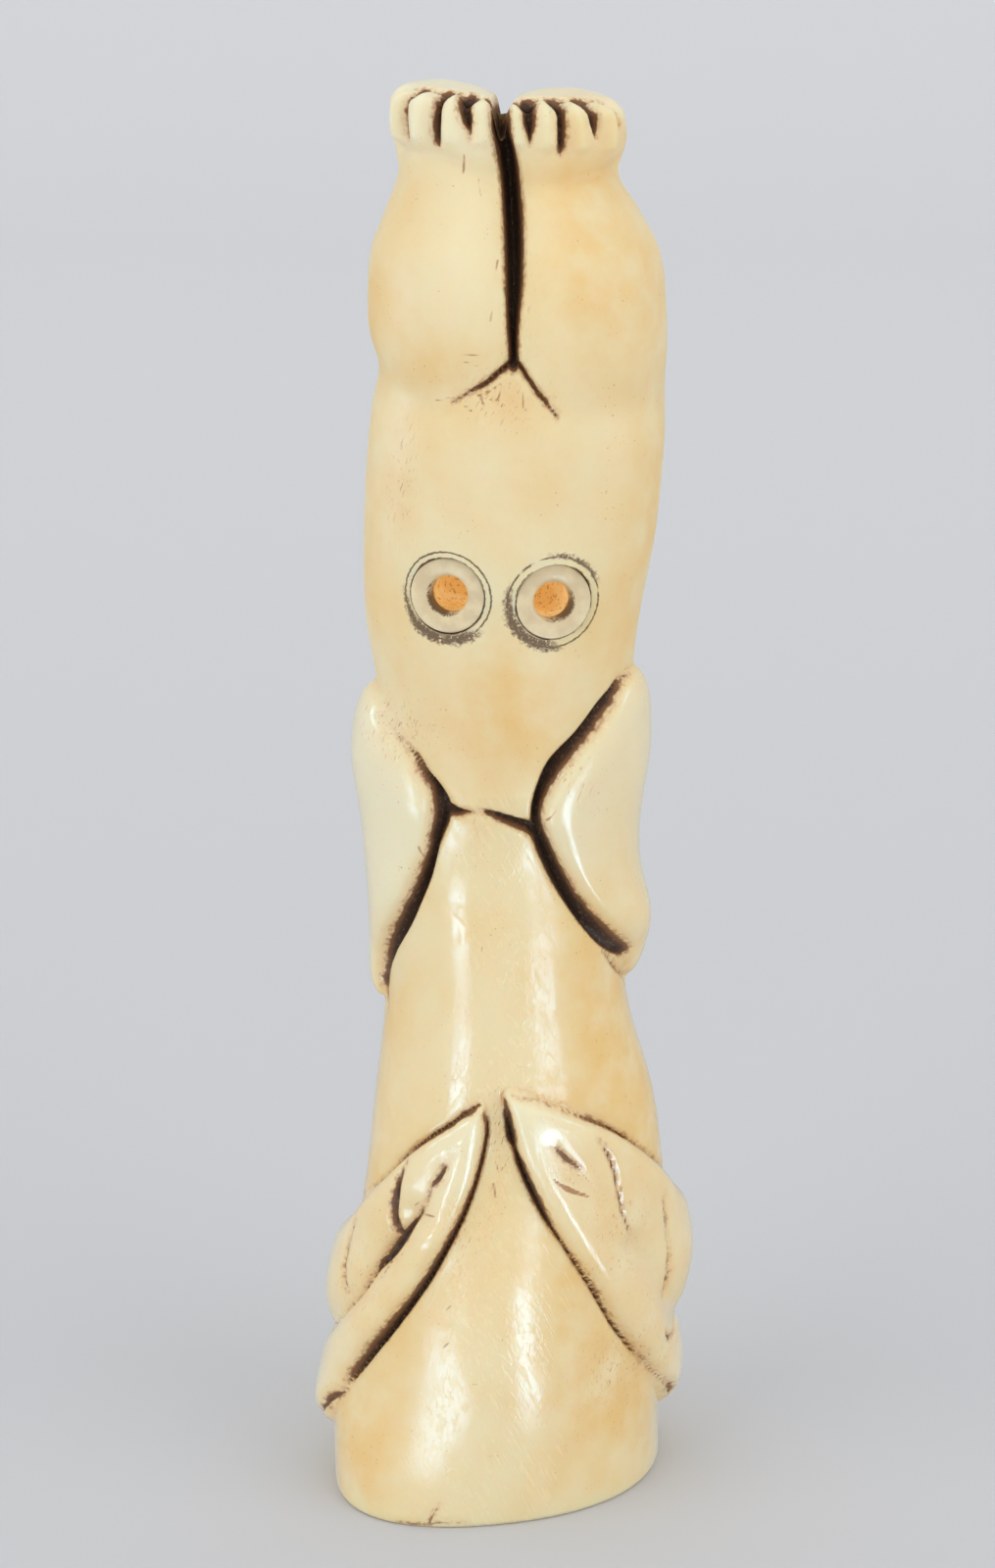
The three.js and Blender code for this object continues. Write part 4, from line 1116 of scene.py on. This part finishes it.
def surface_finish(shader, place, mottle, dark, marks):
    """The relief of the polish, and its roughness: gentle waves left by the scraper, thin scratches in two
    directions where the carving is scuffed, and a matt film where they lie close."""
    scratch = shader.noise(place, 0.25, detail=2, stretch=(0.8, 0.8, 7), turn=(0.1, 0.5, 0)).step(0.54, 0.66)
    slanting = shader.noise(place, 0.3, detail=2, stretch=(0.8, 0.8, 8), turn=(0.2, -0.45, 0)).step(0.5, 0.62)
    waves = shader.noise(place, 1.5, detail=2, roughness=0.4)
    scuffed = slanting * mottle.step(0.36, 0.5) * marks["scuffed"]
    scratches = (scratch + slanting) * SCRATCH_DEPTH * marks["scuffed"]
    relief = scratches + waves * WAVE_DEPTH * (1 - marks["inside"]) - dark * STAIN_DEPTH
    inputs = {"Strength": 0.5, "Distance": RELIEF * MM, "Height": relief}
    normal = shader.node("ShaderNodeBump", inputs=inputs)
    return normal, WORN_ROUGHNESS - marks["gloss"] * POLISH + scuffed * SCUFF


# %% The ivory material
def ivory():
    """The carved ivory, from the soft colours up to the marks on it."""
    shader = Shader("polished_ivory")
    place = shader.place()
    marks = {name: shader.attribute(name) for name in (*MARKS, "inside")}
    cloud = shader.noise(place, 9, detail=3)
    mottle = shader.noise(place, 2.2, detail=4)
    fine = shader.noise(place, 0.35, detail=4, roughness=0.65)
    ragged = (shader.noise(place, 0.5, detail=5, roughness=0.65) - 0.5) * 0.2 + (fine - 0.5) * 0.1
    edge = marks["stain"] - REACH
    dark = (edge + ragged).step(-0.02, 0.06)
    around = larger_of([ring_dirt(shader, place, node) for node in holes])
    # the tunnel wall's colour is a painted amber glow
    wall = tunnel_glow(shader, place)

    tone = clean_ivory(shader, cloud, mottle, marks)
    tone = warm_beside_cuts(shader, tone, edge, ragged, mottle, fine, marks["warm"])
    tone = hairlines_and_specks(shader, tone, place, ragged, mottle, marks)
    tone = stain_in_cuts(shader, tone, place, edge, ragged, dark)
    tone = shader.mix(around * 0.9, tone, GRIME)
    # painted glow: the tunnel wall takes the amber glow in place of the ivory
    tone = shader.mix(marks["inside"], tone, wall)
    normal, roughness = surface_finish(shader, place, mottle, dark, marks)
    return shader.surface({
        "Base Color": tone,
        "Roughness": roughness.larger(dark.larger(around) * DIRT_ROUGHNESS),
        "IOR": 1.54,
        "Subsurface Weight": 0.5,
        "Subsurface Radius": (1.0, 0.55, 0.28),
        "Subsurface Scale": 1.6 * MM,
        # the tunnel wall also emits its painted glow, though it is no lamp
        "Emission Color": shader.mix(marks["inside"], (0, 0, 0, 1), wall),
        "Emission Strength": 0.28,
        "Normal": normal,
    })


carving.data.materials.clear()
carving.data.materials.append(ivory())

# %% [markdown]
# ## The rings
#
# Each cord hole is lined with a pale ring, let in nearly flush, that keeps the cord from wearing the ivory. A
# turned ring is a lathe shape: a closed profile carried round an axis. Its face is softly crowned, and its
# mouth is eased where the cord rubs.

# %% Turn the rings
# radius and height above the middle of the ring's thickness
PROFILE = [
    (1.04, -0.44), (1.02, -0.1), (1.06, 0.14), (1.16, 0.31), (1.36, 0.4), (1.6, 0.43), (1.84, 0.43),
    (2.02, 0.41), (2.09, 0.32), (2.09, -0.42), (1.9, -0.44), (1.3, -0.44),
]
RING_ROWS, RING_SIDES = 72, 96
RING_LOW, RING_HIGH = colour(224, 202, 162), colour(240, 222, 180)
RING_GRIME = colour(112, 90, 66)
print("ring:", len(PROFILE), "corners in the profile,", RING_SIDES, "steps round")


def ring_points(middle, out, side):
    """The profile (r, h), smoothed and closed, carried round the ring's axis:
    middle + r (cos x side + sin x up) + h x out."""
    r, h = closed_curve(PROFILE, RING_ROWS).T
    turn = np.arange(RING_SIDES) / RING_SIDES * 2 * np.pi
    r, h = np.clip(r, 1.0, RING_RADIUS)[:, None, None], np.clip(h, -0.45, 0.45)[:, None, None]
    around = np.cos(turn)[:, None] * side + np.sin(turn)[:, None] * np.array([0, 0, 1])
    return (middle + r * around + h * out).reshape(-1, 3)


def torus_faces(row_count, column_count):
    """Quads over a grid that closes in both directions."""
    index = np.arange(row_count * column_count).reshape(row_count, column_count)
    right, up = np.roll(index, -1, 1), np.roll(index, -1, 0)
    return np.stack([index, up, np.roll(up, -1, 1), right], -1).reshape(-1, 4)


def ring_material():
    """A pale ring with brown dirt where its dirt value is high."""
    shader = Shader("pale_ring")
    place = shader.place()
    cloud = shader.noise(place, 1.2)
    fine = shader.noise(place, 0.11, detail=4, roughness=0.7)
    tone = shader.mix(cloud.step(0.35, 0.7), RING_LOW, RING_HIGH)
    dirt = shader.attribute("dirt") + (cloud - 0.5) * 0.7
    dirty = (dirt.step(0.35, 0.75) * fine.step(0.42, 0.56)).larger(dirt.step(0.8, 1.0))
    tone = shader.mix(dirty, tone, RING_GRIME)
    bump = shader.node("ShaderNodeBump", inputs={"Strength": 0.2, "Distance": RELIEF * MM, "Height": fine})
    return shader.surface({
        "Base Color": tone,
        "Roughness": fine * 0.2 + 0.2,
        "IOR": 1.5,
        "Subsurface Weight": 0.3,
        "Subsurface Radius": (1.0, 0.9, 0.8),
        "Subsurface Scale": 0.6 * MM,
        "Normal": bump,
    })


def ring_piece(name, node, dirt_way, material):
    """One ring, with a dirt value that grows into its mouth on one side and towards its outer edge."""
    middle, out, side = holes[node]
    at = ring_points(middle, out, side)
    mesh = mesh_of(name, at, torus_faces(RING_ROWS, RING_SIDES))
    offset = at - middle
    across, upward = offset @ side, offset[:, 2]
    radius = np.hypot(across, upward)
    way = math.radians(dirt_way)
    towards = (across * math.cos(way) + upward * math.sin(way)) / radius
    mouth = (1 - smooth(radius, 1.1, 1.35)) * (0.35 + 0.75 * towards)
    add_mark(mesh, "dirt", np.maximum(mouth, smooth(radius, 2.0, 2.09) * 0.7))
    mesh.materials.append(material)
    mesh.shade_smooth()
    return link(name, mesh)


# %% Put in the rings
pale_ring = ring_material()
rings = {
    "left_cord_ring": ("cord_hole_ring_left", 215),
    "right_cord_ring": ("cord_hole_ring_right", -35),
}
for name, (node, dirt_way) in rings.items():
    ring = ring_piece(name, node, dirt_way, pale_ring)
    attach(ring, "root")
    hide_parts(node)
    print(name, "at", holes[node][0].round(2))

# %% Let the carving stand for its node
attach(carving, "root")
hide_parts("carved_figure")
print("the carving stands for carved_figure")

# %% [markdown]
# ## Floor and light
#
# The floor is one pale sheet that curves up behind the object, so that no horizon shows. Two large soft
# lights at the sides and one above give the even light of a light tent, and one more lights the sheet
# behind. Six strips of cool light stand near the object only for their reflections: they draw the long
# highlights down the polished stem and foot, and the small ones where the body turns to the side.


# %% The floor sheet
def floor_sheet():
    """A profile of [y, z] that is level, then turns up by a quarter round, carried straight along x."""
    turn = np.linspace(0, np.pi / 2, 24)
    radius, front, back, half = 0.5, -0.9, 0.45, 1.6
    bend_y, bend_z = back + radius * np.sin(turn), radius * (1 - np.cos(turn))
    profile = np.concatenate([[[front, 0]], np.stack([bend_y, bend_z], -1), [[back + radius, 1.6]]])
    xs = np.array([-half, half])
    points = np.array([[x, y, z] for x in xs for y, z in profile])
    count = len(profile)
    a = np.arange(count - 1)
    quads = np.stack([a, a + count, a + count + 1, a + 1], -1)
    sheet = link("floor", mesh_of("floor", points / MM, quads))
    sheet.data.shade_smooth()
    return sheet


paper = Shader("pale_paper")
floor = floor_sheet()
floor.data.materials.append(paper.surface({
    "Base Color": colour(210, 210, 211),
    "Roughness": 0.9,
    "Specular IOR Level": 0,
}))
floor.visible_glossy = False
print("floor:", len(floor.data.polygons), "faces")

# %% The soft lights
world = bpy.data.worlds.new("studio")
bpy.context.scene.world = world
world.use_nodes = True
sky = world.node_tree.nodes["Background"]
sky.inputs["Color"].default_value = colour(226, 231, 238)
sky.inputs["Strength"].default_value = 0.62

# name: place, size across and up, watts
LAMPS = {
    "left softbox": ((-0.55, -0.4, 0.2), (0.7, 0.6), 2.15),
    "right softbox": ((0.55, -0.4, 0.2), (0.7, 0.6), 2.0),
    "overhead": ((0.0, 0.1, 0.8), (1.2, 1.2), 2.8),
    "backdrop": ((0.0, 0.2, 0.75), (1.2, 0.3), 2.6),
}
for name, (place, (wide, tall), watts) in LAMPS.items():
    lamp = link(name, bpy.data.lights.new(name, "AREA"))
    lamp.data.shape = "RECTANGLE"
    lamp.data.size, lamp.data.size_y = wide, tall
    lamp.data.energy = watts
    lamp.visible_glossy = False
    point_at(lamp, Vector(place), (0, 1.0, 0.5) if name == "backdrop" else AIM)
print("lamps:", list(LAMPS))

# %% The strips, seen only in reflections
STRIP_DISTANCE, STRIP_COLUMNS = 70, 12
COOL_LIGHT = (0.4, 0.7, 1, 1)  # cool enough to look white on yellow ivory
# name: angles round the object, heights, how far its low end lies further round, and strength
STRIPS = {
    "left strip, for the stem": ((-42, -29), (20, 26.3), 0, 14.5),
    "left strip, for the foot": ((-56, -37), (-9, 10), 28, 9.5),
    "right strip, for the stem": ((21, 42), (21.5, 24.6), 0, 14),
    "right strip, for the foot": ((13, 28), (-17, 17), 19, 12.5),
    "left window": ((-98, -84), (56, 74), 0, 10),
    "right window": ((62, 80), (58, 74), 0, 9),
}


def strip(name, angles, heights, lean, strength):
    """A piece of an upright cylinder round the object: (distance sin a, -distance cos a, height)."""
    turn, level = np.meshgrid(np.radians(np.linspace(*angles, STRIP_COLUMNS)), np.array(heights, float))
    turn[0] += math.radians(lean)
    points = np.stack([STRIP_DISTANCE * np.sin(turn), -STRIP_DISTANCE * np.cos(turn), level], -1)
    low = np.arange(STRIP_COLUMNS - 1)
    quads = np.stack([low, low + 1, low + 1 + STRIP_COLUMNS, low + STRIP_COLUMNS], -1)
    sheet = link(name, mesh_of(name, points.reshape(-1, 3), quads))
    shader = Shader(name)
    glow = shader.node("ShaderNodeEmission", inputs={"Color": COOL_LIGHT, "Strength": strength})
    shader.material.cycles.emission_sampling = "NONE"
    sheet.data.materials.append(shader.end_with(glow))
    for ray in ("camera", "diffuse", "shadow", "transmission", "volume_scatter"):
        setattr(sheet, f"visible_{ray}", False)


for name, row in STRIPS.items():
    strip(name, *row)

# %% Tone
# Standard shows colours as they are set, so that the ivory keeps its own yellow.
settings = bpy.context.scene.view_settings
settings.view_transform = "Standard"
settings.exposure = 0.0
print("tone:", settings.view_transform)
